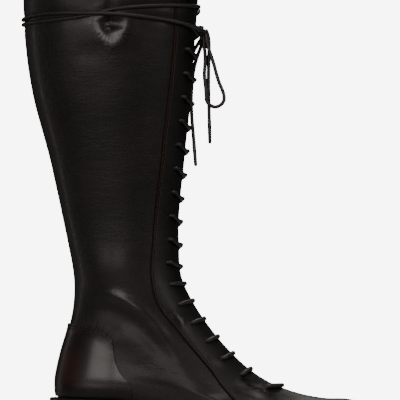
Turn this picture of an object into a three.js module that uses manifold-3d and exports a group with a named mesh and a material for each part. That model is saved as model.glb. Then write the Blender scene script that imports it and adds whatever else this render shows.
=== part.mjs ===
import * as THREE from "three";
import { mergeVertices } from "three/addons/utils/BufferGeometryUtils.js";
import Module from "manifold-3d";

const wasm = await Module();
wasm.setup();

// A right boot. X runs from the heel to the toe, Y to the inner side of the foot and Z up.
// The origin is the middle of the heel's rest face. All sizes are in millimetres.

// Sizes of the whole boot
const bootHeight = 408; // floor to collar
const bendHeight = 146; // floor to the bend of the instep
const upperLength = 267; // back of the heel to the tip of the toe
const ballWidth = 92; // across the upper at the ball
const calfDepth = 145.5; // shaft at the collar, front to back
const calfWidth = 94; // shaft at the collar, side to side
const heelSetback = 31; // back of the upper to the middle of the heel's rest face

// Leather
const upperWall = 2.2; // outer leather and lining
const overlayWall = 1.2; // front panel and heel counter
const tongueWall = 2.5;
const fitGap = 0.3; // between pieces that touch

// Sole
const weltThick = 3.7;
const outsoleThick = 5.5;
const heelRise = 38.7; // heel seat above the forefoot
const seatTilt = 0.04; // rise of the heel seat towards the back, per millimetre
const toeSpring = 7; // lift of the toe tip
const flatFront = 185; // the forefoot lies flat from here
const flatBack = 138; // to here
const seatFront = 12; // front of the heel seat
const flangeWide = 5.2; // welt beyond the upper at heel and toe
const flangeNarrow = 3.4; // welt beyond the upper at the waist
const heelBreast = 33; // front of the heel, from the origin
const breastHollow = 4; // curve of the heel's front face
const heelTaper = 2; // heel narrows towards the floor
const liftThick = 6; // top piece on the floor
const insoleThick = 3;
const counterHeight = 61.5; // heel counter above the welt, at the back
const counterFront = 33; // front end of the heel counter, from the origin
const insoleInset = 4.6; // insole edge inside the upper's feather edge

// Throat and lacing
const throatStart = 163; // front end of the throat, from the origin
const throatGap = 4.6; // half of the gap between the facings
const throatTip = 0.8; // the same at the front end
const throatFade = 16; // from the front end to the full gap
const eyeletPitch = 19.5; // from row to row
const eyeletRows = 20;
const lacedRows = 18; // the upper rows are left open
const eyeletRadius = 2.1;
const firstEyelet = 155; // lowest row, from the origin
const tongueReach = 27; // half width of the tongue
const lowTongueShare = 0.62; // its half width at the lower end, as a share of tongueReach
const tongueAbove = 6; // tongue above the collar
const tongueUnder = 14; // tongue under the vamp, past the throat
const tongueFade = 8; // it widens from here on
const laceRadius = 1.5;
const agletRadius = 1.7;
const agletLength = 18;
const knotHeight = 349.3; // floor to the middle of the knot
const knotLift = 7.7; // knot off the skin of the shaft
const knotWide = 12;
const knotDeep = 5.2;
const knotTall = 8.4;
const netLift = 2.4; // underside of the crossings off the skin, over the facings
const gapLift = 2; // the same in the middle of the throat
const netThick = 2.7;
const netWidth = 2.8;
const crossingRise = 0.68; // crossing's place from one row to the next, as a share of eyeletPitch

// Fineness of the solids
const panelColumns = 5; // from the front to the panel's edge
const rearColumns = 8; // from there to the back
const sideColumns = panelColumns + rearColumns;
const rowSpacing = 24;
const edgeSteps = 26;
const overlayFoot = 1.4; // the overlays' lower edge above the feather line
const netSteps = 3; // along a lace, from hole to crossing
const wrapSteps = 26;
const wrapSides = 6;
const cutDepth = 2; // what cuts a wall reaches past it on both sides

// Sections of the foot, from the sole up to the bend of the instep. front and back are shares of
// upperLength from the heel; their rises are shares of the way from the sole to bendHeight. hug is
// how far a section follows the sole's curve, and dip its drop behind the toe as a share of
// bendHeight. blunt shapes both ends. tip to rear are half widths as shares of half the ball's width.
// facing is the front panel's rear edge and holes the lace holes, as shares of the section from
// front to back.
const footColumns = ["front", "frontRise", "back", "backRise", "hug", "dip", "blunt",
  "tip", "ball", "waist", "heel", "rear", "facing", "holes"];
const footSections = [
  [0.988, 0.000, 0.004, 0.000, 1.00, 0.000, 0.72, 0.935, 0.990, 0.700, 0.880, 0.870, 0.385, 0.020],
  [0.997, 0.041, 0.001, 0.040, 0.98, 0.000, 0.74, 0.957, 1.030, 0.728, 0.913, 0.891, 0.392, 0.020],
  [1.000, 0.103, 0.000, 0.081, 0.93, 0.000, 0.76, 0.935, 1.045, 0.750, 0.935, 0.902, 0.397, 0.020],
  [0.981, 0.186, 0.000, 0.123, 0.85, 0.020, 0.80, 0.826, 1.035, 0.761, 0.935, 0.891, 0.392, 0.020],
  [0.914, 0.266, 0.001, 0.175, 0.55, 0.041, 0.86, 0.674, 0.946, 0.761, 0.924, 0.870, 0.374, 0.020],
  [0.828, 0.288, 0.006, 0.254, 0.35, 0.041, 0.92, 0.587, 0.826, 0.761, 0.891, 0.837, 0.337, 0.020],
  [0.734, 0.327, 0.017, 0.385, 0.20, 0.027, 0.96, 0.543, 0.750, 0.739, 0.837, 0.783, 0.303, 0.050],
  [0.625, 0.428, 0.038, 0.584, 0.10, 0.014, 1.00, 0.565, 0.685, 0.717, 0.783, 0.739, 0.262, 0.100],
  [0.514, 0.609, 0.053, 0.782, 0.00, 0.000, 1.00, 0.609, 0.685, 0.728, 0.761, 0.717, 0.280, 0.120],
  [0.440, 0.799, 0.059, 0.948, 0.00, 0.000, 1.00, 0.652, 0.728, 0.783, 0.783, 0.717, 0.322, 0.140],
  [0.394, 1.000, 0.054, 1.104, 0.00, 0.000, 1.00, 0.674, 0.761, 0.815, 0.793, 0.728, 0.278, 0.127],
];

// Sections of the shaft, from the bend of the instep to past the collar. front and back are
// distances from the bend as shares of calfDepth, rises are shares of the shaft's height, and half
// widths are shares of half of calfWidth.
const shaftColumns = ["front", "frontRise", "back", "backRise",
  "tip", "ball", "waist", "heel", "rear", "facing", "holes"];
const shaftSections = [
  [0.000, 0.125, 0.632, 0.122, 0.649, 0.734, 0.755, 0.734, 0.681, 0.227, 0.090],
  [0.031, 0.376, 0.731, 0.374, 0.723, 0.840, 0.872, 0.840, 0.777, 0.167, 0.067],
  [0.071, 0.595, 0.832, 0.592, 0.819, 0.957, 1.000, 0.968, 0.894, 0.138, 0.056],
  [0.088, 0.741, 0.871, 0.744, 0.840, 0.989, 1.032, 1.000, 0.915, 0.119, 0.050],
  [0.107, 0.876, 0.882, 0.876, 0.840, 0.989, 1.021, 0.989, 0.904, 0.124, 0.054],
  [0.121, 1.000, 0.879, 1.000, 0.840, 0.979, 1.011, 0.979, 0.894, 0.125, 0.052],
  [0.131, 1.061, 0.876, 1.061, 0.840, 0.974, 1.006, 0.974, 0.890, 0.125, 0.052],
];
const bendShare = 0.383; // the bend of the instep as a share of upperLength

// Places of the five half widths along a section, from front to back
const widthPlaces = [0, 0.3, 0.6, 0.87, 1];

// The lace's ends round the shaft: share of a full turn from the front by the outer side, height
// from the knot, and lift over other laces. The outer strand leaves by the outer side.
const outerStrand = {
  around: [-0.006, 0.03, 0.055, 0.09, 0.125, 0.16, 0.25, 0.3, 0.35, 0.425, 0.5, 0.6, 0.75, 0.84,
    0.875, 0.91, 0.945, 0.973],
  height: [22.2, 22, 21.9, 21.8, 21.7, 21.4, 17.4, 12.2, 9.2, 7.1, 6.2, 5.4, 5, 4.9,
    4.8, 4.7, 4.5, 4.3],
  lift: [0.6, 0.6, 0.5, 0.4, 0.3, -0.9, -0.9, -0.9, -0.9, -0.9, -0.9, -0.9, -0.9, -1,
    3.2, 5.2, 5.1, 4.9],
};
const innerStrand = {
  around: [0.027, 0.055, 0.09, 0.125, 0.17, 0.25, 0.32, 0.375, 0.425, 0.5, 0.6, 0.75, 0.84,
    0.875, 0.91, 0.945, 0.97, 1.006],
  height: [1.2, 3.4, 6, 8.6, 11.1, 14.7, 14.9, 14.4, 12.7, 10.3, 12.9, 17.7, 20.1,
    21, 21.7, 22.1, 22.2, 22.2],
  lift: [4.9, 5.1, 5.2, 3.2, -1, -0.9, -0.9, -0.9, -0.9, -0.9, -0.9, -0.9, -0.9,
    0.3, 0.4, 0.5, 0.6, 0.6],
};

// The bow's loop and end in front of the boot, from the middle of the knot
const nearLoopRoute = [
  [0.9, -5, -4.8], [1.9, -5.2, -10], [6.5, -6, -23.8], [10.6, -7, -38.5], [14.2, -7.7, -47.5],
  [15.4, -8, -51.5], [15.2, -8.5, -55.9], [12.4, -9.1, -59.5], [8.2, -9.6, -60.9],
  [4, -10, -59.5], [1.3, -10.2, -55.9], [0.9, -10, -51.9], [0.4, -9, -45], [-0.6, -7, -35],
  [0, -4, -20.5], [-0.8, -1.9, -10], [-0.9, -1.6, -4.8],
];
const nearTailRoute = [
  [4.3, 1.5, -2.8], [4.2, 1.5, -8], [3.6, 1.3, -20.5], [3.3, 1, -36.5], [3.8, 0.5, -57.4],
  [4.4, 0, -72.8],
];

// The bow's loop and end on the inner side, given as the strands are
const farLoopRoute = [
  [-0.029, 0.4, 4.9], [-0.056, -2.5, 5.1], [-0.088, -9, 4.9], [-0.115, -20, 4.9],
  [-0.131, -34, 4.8], [-0.1355, -44, 4.8], [-0.1357, -51, 4.8], [-0.1329, -54.6, 4.8],
  [-0.1254, -57.2, 4.8], [-0.115, -58.2, 4.8], [-0.1047, -57.2, 4.8], [-0.0971, -54.6, 4.8],
  [-0.0943, -51, 4.8], [-0.093, -40, 4.8], [-0.085, -26, 4.8], [-0.068, -15, 4.8],
  [-0.044, -7, 4.8], [-0.03, -3.6, 4.8],
];
const farTailRoute = [
  [-0.012, -5.6, 4.4], [-0.026, -10, 4.6], [-0.048, -18, 4.8], [-0.062, -28, 4.8],
  [-0.068, -40, 4.8], [-0.067, -54, 4.8], [-0.06, -68, 5.2], [-0.052, -80, 6.2],
  [-0.047, -91, 7.6],
];

// Sideways curve of the foot: share of upperLength, and shift to the inner side as a share of
// ballWidth.
const swingPlaces = [0, 0.35, 0.6, 0.78, 0.92, 1];
const swingShifts = [0, -0.035, -0.012, 0.022, 0.07, 0.1];

// Upper edge of the heel counter: share of the way from the back to its front end, and height of
// the edge above the feather line as a share of counterHeight.
const counterPlaces = [0, 0.2, 0.36, 0.53, 0.66, 0.78, 0.86, 0.92, 0.97, 1];
const counterHeights = [1, 0.99, 0.97, 0.93, 0.86, 0.75, 0.63, 0.46, 0.22, 0];
const counterColumns = 6; // of the upper's columns, from the back

// Smooth values

function mix(a, b, t) {
  return a + (b - a) * t;
}

function smoothStep(low, high, x) {
  const t = Math.min(1, Math.max(0, (x - low) / (high - low)));
  return t * t * (3 - 2 * t);
}

// A smooth curve through values at rising places
function through(places, values, x) {
  const last = places.length - 1;
  const at = Math.min(places[last], Math.max(places[0], x));
  let i = 0;
  while (i < last - 1 && at > places[i + 1]) i += 1;
  const slope = (k) => (values[k + 1] - values[k]) / (places[k + 1] - places[k]);
  const tangent = (k) => {
    if (k === 0) return slope(0);
    if (k === last) return slope(last - 1);
    const before = places[k] - places[k - 1];
    const after = places[k + 1] - places[k];
    return (slope(k - 1) * after + slope(k) * before) / (before + after);
  };
  const span = places[i + 1] - places[i];
  const t = (at - places[i]) / span;
  const bend = t * t * (3 - 2 * t);
  const start = t * (1 - t) * (1 - t) * span * tangent(i);
  const end = t * t * (t - 1) * span * tangent(i + 1);
  return mix(values[i], values[i + 1], bend) + start + end;
}

// Form of the last

// Height of the feather line, where the upper meets the welt
function featherHeight(x) {
  const ramp = smoothStep(0, 1, (flatBack - x) / (flatBack - seatFront));
  const tilt = seatTilt * Math.max(0, seatFront - x);
  const toeRun = upperLength - heelSetback - flatFront;
  const spring = toeSpring * Math.max(0, (x - flatFront) / toeRun) ** 2;
  return weltThick + outsoleThick + 2 * fitGap + heelRise * ramp + tilt + spring;
}

// The two tables as rows of lengths
function makeSections() {
  const bendAt = bendShare * upperLength - heelSetback;
  const foot = footSections.map((row) => {
    const share = Object.fromEntries(footColumns.map((name, i) => [name, row[i]]));
    const frontX = share.front * upperLength - heelSetback;
    const backX = share.back * upperLength - heelSetback;
    return {
      ...share,
      frontX,
      backX,
      frontZ: mix(featherHeight(frontX), bendHeight, share.frontRise),
      backZ: mix(featherHeight(backX), bendHeight, share.backRise),
      dip: share.dip * bendHeight,
      widths: widthPlaces.map((_, i) => row[footColumns.indexOf("tip") + i] * ballWidth / 2),
    };
  });
  const shaft = shaftSections.map((row) => {
    const share = Object.fromEntries(shaftColumns.map((name, i) => [name, row[i]]));
    return {
      ...share,
      hug: 0,
      dip: 0,
      blunt: 1,
      frontX: bendAt + share.front * calfDepth,
      backX: bendAt - share.back * calfDepth,
      frontZ: mix(bendHeight, bootHeight, share.frontRise),
      backZ: mix(bendHeight, bootHeight, share.backRise),
      widths: widthPlaces.map((_, i) => row[shaftColumns.indexOf("tip") + i] * calfWidth / 2),
    };
  });
  return [...foot, ...shaft];
}

const sections = makeSections();

// Distance up the boot of each section, by which everything on it is placed
const climbs = sections.reduce((list, row, i) => {
  if (i === 0) return [0];
  const below = sections[i - 1];
  const front = Math.hypot(row.frontX - below.frontX, row.frontZ - below.frontZ);
  const back = Math.hypot(row.backX - below.backX, row.backZ - below.backZ);
  return [...list, list[i - 1] + (front + back) / 2];
}, []);
const columnNames = ["frontX", "frontZ", "backX", "backZ", "hug", "dip", "blunt",
  "facing", "holes"];
const sectionColumns = Object.fromEntries(
  columnNames.map((name) => [name, sections.map((row) => row[name])]));
const widthColumns = widthPlaces.map((_, i) => sections.map((row) => row.widths[i]));
const swingFadeStart = climbs[7];
const swingFadeEnd = climbs[10];
const collarClimb = climbs[climbs.length - 2];

const sectionCache = new Map();

// One section at a climb, with its values read from the columns
function sectionAt(climb) {
  if (!sectionCache.has(climb)) {
    const row = {};
    for (const name of columnNames) row[name] = through(climbs, sectionColumns[name], climb);
    row.widths = widthColumns.map((column) => through(climbs, column, climb));
    row.swing = 1 - smoothStep(swingFadeStart, swingFadeEnd, climb);
    sectionCache.set(climb, row);
  }
  return sectionCache.get(climb);
}

// A point of the outline skin. round is 0 at the front, half a turn at the back; the outer side of
// the foot lies between 0 and half a turn.
function skinPoint(climb, round) {
  const row = sectionAt(climb);
  const along = (1 - Math.cos(round)) / 2;
  const side = Math.sin(round) < 0 ? 1 : -1;
  const x = mix(row.frontX, row.backX, along);
  const chord = mix(featherHeight(row.frontX), featherHeight(row.backX), along);
  const hugging = row.hug * (featherHeight(x) - chord);
  const dipping = row.dip * 12.2 * along * (1 - along) ** 4;
  const z = mix(row.frontZ, row.backZ, along) + hugging - dipping;
  const shifted = along + side * 0.025 * Math.sin(Math.PI * along);
  const half = through(widthPlaces, row.widths, shifted);
  const cap = Math.abs(Math.sin(round)) ** row.blunt;
  const swing = row.swing * ballWidth
    * through(swingPlaces, swingShifts, (x + heelSetback) / upperLength);
  return new THREE.Vector3(x, swing + side * cap * half, z);
}

// The skin's outward direction
function skinNormal(climb, round) {
  const stepUp = 0.6;
  const stepRound = 0.02;
  const low = Math.max(0, climb - stepUp);
  const high = Math.min(climbs[climbs.length - 1], climb + stepUp);
  const up = skinPoint(high, round).sub(skinPoint(low, round));
  const turn = skinPoint(climb, round + stepRound).sub(skinPoint(climb, round - stepRound));
  return up.cross(turn).normalize();
}

function skin(climb, round, lift) {
  return skinPoint(climb, round).addScaledVector(skinNormal(climb, round), lift);
}

// Lifts off the skin, on which the boot's outline is measured
const overlayOuter = 0.3;
const overlayInner = overlayOuter - overlayWall;
const upperOuter = overlayInner - fitGap;
const upperInner = upperOuter - upperWall;
const tongueOuter = upperInner - fitGap;
const tongueInner = tongueOuter - tongueWall;
const laceLift = overlayOuter + fitGap + laceRadius;

// Turn at which a section is so far to the side of its front point
function roundAtReach(climb, reach) {
  const front = skinPoint(climb, 0).y;
  let low = 0;
  let high = Math.PI / 2;
  for (let i = 0; i < 30; i += 1) {
    const middle = (low + high) / 2;
    if (front - skinPoint(climb, middle).y < reach) low = middle;
    else high = middle;
  }
  return low;
}

// Climb at which a column of the sections has a value
function climbWhere(test) {
  let low = 0;
  let high = climbs[climbs.length - 1];
  for (let i = 0; i < 40; i += 1) {
    const middle = (low + high) / 2;
    if (test(sectionAt(middle))) high = middle;
    else low = middle;
  }
  return high;
}

// Climbs shared by all pieces, close on the foot and wider on the shaft
function sharedClimbs() {
  const list = [0, overlayFoot];
  for (let i = 0; i < climbs.length - 1; i += 1) {
    const count = Math.max(1, Math.round((climbs[i + 1] - climbs[i]) / rowSpacing));
    for (let k = 1; k <= count; k += 1) list.push(mix(climbs[i], climbs[i + 1], k / count));
  }
  return list;
}

// The shared climbs from one to another
function climbSteps(from, to) {
  const between = sharedClimbs().filter((climb) => climb > from + 0.5 && climb < to - 0.5);
  return [from, ...between, to];
}

function facingRound(climb) {
  return Math.acos(1 - 2 * sectionAt(climb).facing);
}

// Turn of a column. Column 0 is the front, panelColumns the front panel's edge and sideColumns the
// back. Columns past the back, and negative ones, are on the inner side.
function columnRound(climb, column) {
  if (column < 0) return -columnRound(climb, -column);
  if (column > sideColumns) return 2 * Math.PI - columnRound(climb, 2 * sideColumns - column);
  const edge = facingRound(climb);
  if (column <= panelColumns) return edge * column / panelColumns;
  return mix(edge, Math.PI, (column - panelColumns) / rearColumns);
}

// Solids

function toGeometry(points, triangles) {
  const geometry = new THREE.BufferGeometry();
  const flat = points.flatMap((p) => [p.x, p.y, p.z]);
  geometry.setAttribute("position", new THREE.Float32BufferAttribute(flat, 3));
  geometry.setIndex(triangles);
  return geometry;
}

function toSolid(geometry) {
  const bare = geometry.clone();
  for (const name of Object.keys(bare.attributes)) {
    if (name !== "position") bare.deleteAttribute(name);
  }
  const merged = mergeVertices(bare, 1e-4);
  const vertProperties = new Float32Array(merged.attributes.position.array);
  const index = merged.index.array;
  const kept = [];
  for (let i = 0; i < index.length; i += 3) {
    const [a, b, c] = [index[i], index[i + 1], index[i + 2]];
    if (a !== b && b !== c && c !== a) kept.push(a, b, c);
  }
  const triVerts = new Uint32Array(kept);
  return new wasm.Manifold(new wasm.Mesh({ numProp: 3, vertProperties, triVerts }));
}

function fromSolid(solid) {
  const { vertProperties, triVerts } = solid.getMesh();
  const geometry = new THREE.BufferGeometry();
  geometry.setAttribute("position", new THREE.BufferAttribute(Float32Array.from(vertProperties), 3));
  geometry.setIndex(Array.from(triVerts));
  return geometry;
}

// Two triangles of a four-sided face. A wall's inner side is split the other way, so that both sides
// of the wall, and the walls of neighbours, stay parallel.
function quad(a, b, c, d, inside) {
  return inside ? [a, b, d, b, c, d] : [a, b, c, a, c, d];
}

// A closed solid from rows of points, each row a loop. Its ends are "joined" to each other, as in a
// wall, get a "flat" face each, as in a block, or are "sharp", where a loop closes to a line.
function loopSolid(rows, ends) {
  const around = rows[0].length;
  const points = rows.flat();
  const triangles = [];
  const index = (r, k) => (r % rows.length) * around + (k % around);
  const last = ends === "joined" ? rows.length : rows.length - 1;
  for (let r = 0; r < last; r += 1) {
    const inside = ends === "joined" && r >= rows.length / 2;
    for (let k = 0; k < around; k += 1) {
      triangles.push(...quad(index(r, k), index(r, k + 1), index(r + 1, k + 1), index(r + 1, k),
        inside));
    }
  }
  if (ends === "flat") {
    const outline = rows[0].map((p) => new THREE.Vector2(p.x, p.y));
    for (const [a, b, c] of THREE.ShapeUtils.triangulateShape(outline, [])) {
      const turned = THREE.ShapeUtils.isClockWise([outline[a], outline[b], outline[c]]);
      const [second, third] = turned ? [c, b] : [b, c];
      triangles.push(index(0, a), index(0, second), index(0, third));
      triangles.push(index(last, a), index(last, third), index(last, second));
    }
  }
  return toGeometry(points, triangles);
}

// A wall that goes all the way round, between two lifts
function ringWall(from, to, inner, outer) {
  const steps = climbSteps(from, to);
  const loop = (climb, lift) => Array.from({ length: 2 * sideColumns }, (_, k) =>
    skin(climb, columnRound(climb, -k), lift));
  const rows = [
    ...steps.map((climb) => loop(climb, outer)),
    ...steps.toReversed().map((climb) => loop(climb, inner)),
  ];
  return toSolid(loopSolid(rows, "joined"));
}

// A patch of the skin between two lifts, from one of the shared columns down to another
function patch(from, to, firstColumn, lastColumn, inner, outer) {
  const count = firstColumn - lastColumn + 1;
  const columns = Array.from({ length: count }, (_, k) => firstColumn - k);
  const loops = climbSteps(from, to).map((climb) => [
    ...columns.toReversed().map((column) => skin(climb, columnRound(climb, column), inner)),
    ...columns.map((column) => skin(climb, columnRound(climb, column), outer)),
  ]);
  return toSolid(capped(loops, count));
}

// A thick strip up the front, to cut with. reach gives its half turn at each climb.
function frontStrip(from, to, reach, inner, outer) {
  const shares = [1, 0.5, 0, -0.5, -1];
  const loops = climbSteps(from, to).map((climb) => [
    ...shares.toReversed().map((share) => skin(climb, share * reach(climb), inner)),
    ...shares.map((share) => skin(climb, share * reach(climb), outer)),
  ]);
  return toSolid(capped(loops, shares.length));
}

// Rows of loops whose two ends are closed by strips, because each loop is a thin bent band
function capped(loops, half) {
  const around = loops[0].length;
  const points = loops.flat();
  const triangles = [];
  const last = loops.length - 1;
  const index = (r, k) => r * around + (k % around);
  for (let r = 0; r < last; r += 1) {
    for (let k = 0; k < around; k += 1) {
      triangles.push(...quad(index(r, k), index(r, k + 1), index(r + 1, k + 1), index(r + 1, k),
        k < half - 1));
    }
  }
  for (let k = 0; k < half - 1; k += 1) {
    const across = around - 1 - k;
    triangles.push(index(0, k), index(0, across), index(0, k + 1));
    triangles.push(index(0, k + 1), index(0, across), index(0, across - 1));
    triangles.push(index(last, k), index(last, k + 1), index(last, across));
    triangles.push(index(last, k + 1), index(last, across - 1), index(last, across));
  }
  return toGeometry(points, triangles);
}

// Upper

const throatClimb = climbWhere((row) => row.frontX < throatStart);

// Half turn of the throat, from a point at its front end to its full gap
function throatRound(climb) {
  const opening = smoothStep(throatClimb, throatClimb + throatFade, climb);
  return roundAtReach(climb, mix(throatTip, throatGap, opening));
}

// The throat's opening, through all layers of the wall
function makeThroat() {
  const top = climbs[climbs.length - 1];
  return frontStrip(throatClimb, top, throatRound, upperInner - cutDepth, overlayOuter + cutDepth);
}

function makeUpper() {
  const shell = ringWall(0, collarClimb, upperInner, upperOuter);
  return shell.subtract(makeThroat());
}

// Places of the lace rows up the throat, a pitch apart along the front
function eyeletClimbs() {
  const list = [climbWhere((row) => row.frontX < firstEyelet)];
  const front = (climb) => skinPoint(climb, 0);
  while (list.length < eyeletRows) {
    const from = front(list[list.length - 1]);
    let low = list[list.length - 1];
    let high = low + eyeletPitch * 3;
    for (let i = 0; i < 30; i += 1) {
      const middle = (low + high) / 2;
      if (front(middle).distanceTo(from) < eyeletPitch) low = middle;
      else high = middle;
    }
    list.push(low);
  }
  return list;
}

const laceRows = eyeletClimbs();

function eyeletRound(climb) {
  return Math.acos(1 - 2 * sectionAt(climb).holes);
}

// A short punch across the skin at each lace hole of one side
function eyeletPunches(side) {
  const depth = overlayOuter - overlayInner + 1;
  let punches = null;
  for (const climb of laceRows) {
    const turn = side * eyeletRound(climb);
    const geometry = new THREE.CylinderGeometry(eyeletRadius, eyeletRadius, depth, 5);
    const axis = skinNormal(climb, turn);
    geometry.applyQuaternion(new THREE.Quaternion().setFromUnitVectors(
      new THREE.Vector3(0, 1, 0), axis));
    const middle = skin(climb, turn, (overlayOuter + overlayInner) / 2);
    geometry.translate(middle.x, middle.y, middle.z);
    const punch = toSolid(geometry);
    punches = punches ? punches.add(punch) : punch;
  }
  return punches;
}

// Vamp and both facings in one, over the upper
function makeFrontPanel() {
  const whole = patch(overlayFoot, collarClimb, panelColumns, -panelColumns,
    overlayInner, overlayOuter);
  return whole.subtract(makeThroat()).subtract(eyeletPunches(1)).subtract(eyeletPunches(-1));
}

// Side view of the counter, as a solid across the boot
function makeCounterSide() {
  const points = counterPlaces.map((place, i) => {
    const x = mix(-heelSetback, counterFront, place);
    const foot = featherHeight(x);
    return new THREE.Vector2(x, foot + counterHeights[i] * counterHeight);
  });
  const shape = new THREE.Shape([new THREE.Vector2(-heelSetback - counterHeight, points[0].y)]);
  shape.lineTo(points[0].x, points[0].y);
  shape.splineThru(points.slice(1));
  shape.lineTo(counterFront, 0);
  shape.lineTo(-heelSetback - counterHeight, 0);
  const depth = ballWidth * 2;
  const geometry = new THREE.ExtrudeGeometry(shape, { depth, bevelEnabled: false, curveSegments: 2 });
  geometry.rotateX(Math.PI / 2);
  geometry.translate(0, depth / 2, 0);
  return toSolid(geometry);
}

// Outside counter round the heel: a band of the upper's outside under a curved edge
function makeHeelCounter() {
  const top = climbWhere((row) => row.backZ > featherHeight(-heelSetback) + counterHeight + 4);
  const band = patch(overlayFoot, top, sideColumns + counterColumns, sideColumns - counterColumns,
    overlayInner, overlayOuter);
  return band.intersect(makeCounterSide());
}

function makeTongue() {
  const collar = sectionAt(collarClimb).frontZ;
  const top = climbWhere((row) => row.frontZ > collar + tongueAbove);
  const foot = throatClimb - tongueUnder;
  const reach = (climb) => {
    const opening = smoothStep(foot - tongueFade, laceRows[6], climb);
    return roundAtReach(climb, tongueReach * mix(lowTongueShare, 1, opening));
  };
  const whole = patch(foot, top, panelColumns, -panelColumns, tongueInner, tongueOuter);
  return whole.intersect(
    frontStrip(foot - 1, top + 1, reach, tongueInner - cutDepth, tongueOuter + cutDepth));
}

// Sole

// Outline of the feather edge moved outwards, one point at a turn
function soleEdge(turn, grow) {
  const step = 0.01;
  const point = skinPoint(0, turn);
  const ahead = skinPoint(0, turn + step);
  const behind = skinPoint(0, turn - step);
  const along = new THREE.Vector2(ahead.x - behind.x, ahead.y - behind.y).normalize();
  return new THREE.Vector2(point.x - grow * along.y, point.y + grow * along.x);
}

// Welt width round the foot, narrow at the waist
function flange(turn) {
  const along = (1 - Math.cos(turn)) / 2;
  const waist = smoothStep(0.38, 0.55, along) * (1 - smoothStep(0.68, 0.82, along));
  return mix(flangeWide, flangeNarrow, waist);
}

// A plate of the sole between two heights that follow the feather line
function plate(grow, top, bottom) {
  const turns = Array.from({ length: edgeSteps + 1 }, (_, k) => Math.PI * k / edgeSteps);
  const loops = turns.map((turn) => {
    const outer = soleEdge(turn, grow(turn));
    const inner = soleEdge(-turn, grow(turn));
    return [
      new THREE.Vector3(outer.x, outer.y, featherHeight(outer.x) + top),
      new THREE.Vector3(inner.x, inner.y, featherHeight(inner.x) + top),
      new THREE.Vector3(inner.x, inner.y, featherHeight(inner.x) + bottom),
      new THREE.Vector3(outer.x, outer.y, featherHeight(outer.x) + bottom),
    ];
  });
  return toSolid(loopSolid(loops, "sharp"));
}

function makeWelt() {
  return plate(flange, -fitGap, -fitGap - weltThick);
}

function makeOutsole() {
  const top = -2 * fitGap - weltThick;
  return plate((turn) => flange(turn) - 0.5, top, top - outsoleThick);
}

function makeInsole() {
  return plate(() => -insoleInset, insoleThick, 0);
}

// Outline of the heel at a taper, from the breast round the back to the breast again
function heelOutline(taper) {
  const grow = (turn) => flange(turn) - 0.8 - taper;
  const points = [];
  const startTurn = (side) => {
    let low = 0;
    let high = Math.PI;
    for (let i = 0; i < 30; i += 1) {
      const middle = (low + high) / 2;
      if (soleEdge(side * middle, grow(middle)).x > heelBreast - taper) low = middle;
      else high = middle;
    }
    return low;
  };
  const from = startTurn(1);
  const to = 2 * Math.PI - startTurn(-1);
  const steps = 20;
  for (let k = 0; k <= steps; k += 1) {
    const turn = mix(from, to, k / steps);
    points.push(soleEdge(turn, grow(turn)));
  }
  const start = points[points.length - 1];
  const end = points[0];
  for (let k = 1; k < 6; k += 1) {
    const t = k / 6;
    const hollow = breastHollow * Math.sin(Math.PI * t);
    points.push(new THREE.Vector2(mix(start.x, end.x, t) - hollow, mix(start.y, end.y, t)));
  }
  return points;
}

// A block of the heel between two heights, its outline joined at each level
function heelPiece(levels) {
  const rows = levels.map(({ taper, height }) =>
    heelOutline(taper).map((p) => new THREE.Vector3(p.x, p.y, height(p.x))));
  return toSolid(loopSolid(rows, "flat"));
}

const seatBottom = (x) => featherHeight(x) - weltThick - outsoleThick - 3 * fitGap;

function makeHeelBlock() {
  const foot = () => liftThick + fitGap;
  return heelPiece([
    { taper: 0, height: seatBottom },
    { taper: heelTaper * 0.6, height: (x) => mix(seatBottom(x), foot(), 0.5) },
    { taper: heelTaper, height: foot },
  ]);
}

function makeHeelLift() {
  return heelPiece([
    { taper: heelTaper - 0.4, height: () => liftThick },
    { taper: heelTaper, height: () => 0 },
  ]);
}

// Lace

// A round cord through points, with flat ends
function cord(points, radius, steps, sides) {
  const rim = Array.from({ length: sides }, (_, k) => {
    const turn = 2 * Math.PI * k / sides;
    return new THREE.Vector2(radius * Math.cos(turn), radius * Math.sin(turn));
  });
  const extrudePath = new THREE.CatmullRomCurve3(points, false, "centripetal");
  const options = { steps, bevelEnabled: false, extrudePath };
  return toSolid(new THREE.ExtrudeGeometry(new THREE.Shape(rim), options));
}

// The point between two lace lines that leave a point, at half a lace's width from both
function fork(at, first, second) {
  const a = first.clone().sub(at).normalize();
  const b = second.clone().sub(at).normalize();
  const halfAngle = Math.acos(a.dot(b)) / 2;
  return at.clone().addScaledVector(a.add(b).normalize(), netWidth / 2 / Math.sin(halfAngle));
}

// Cells of one lace between a crossing and a hole, from its two corners at each
function laceCells([start, end], [otherStart, otherEnd]) {
  return Array.from({ length: netSteps }, (_, k) => {
    const [from, to] = [k / netSteps, (k + 1) / netSteps];
    return [start.clone().lerp(end, from), otherStart.clone().lerp(otherEnd, from),
      otherStart.clone().lerp(otherEnd, to), start.clone().lerp(end, to)];
  });
}

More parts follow.
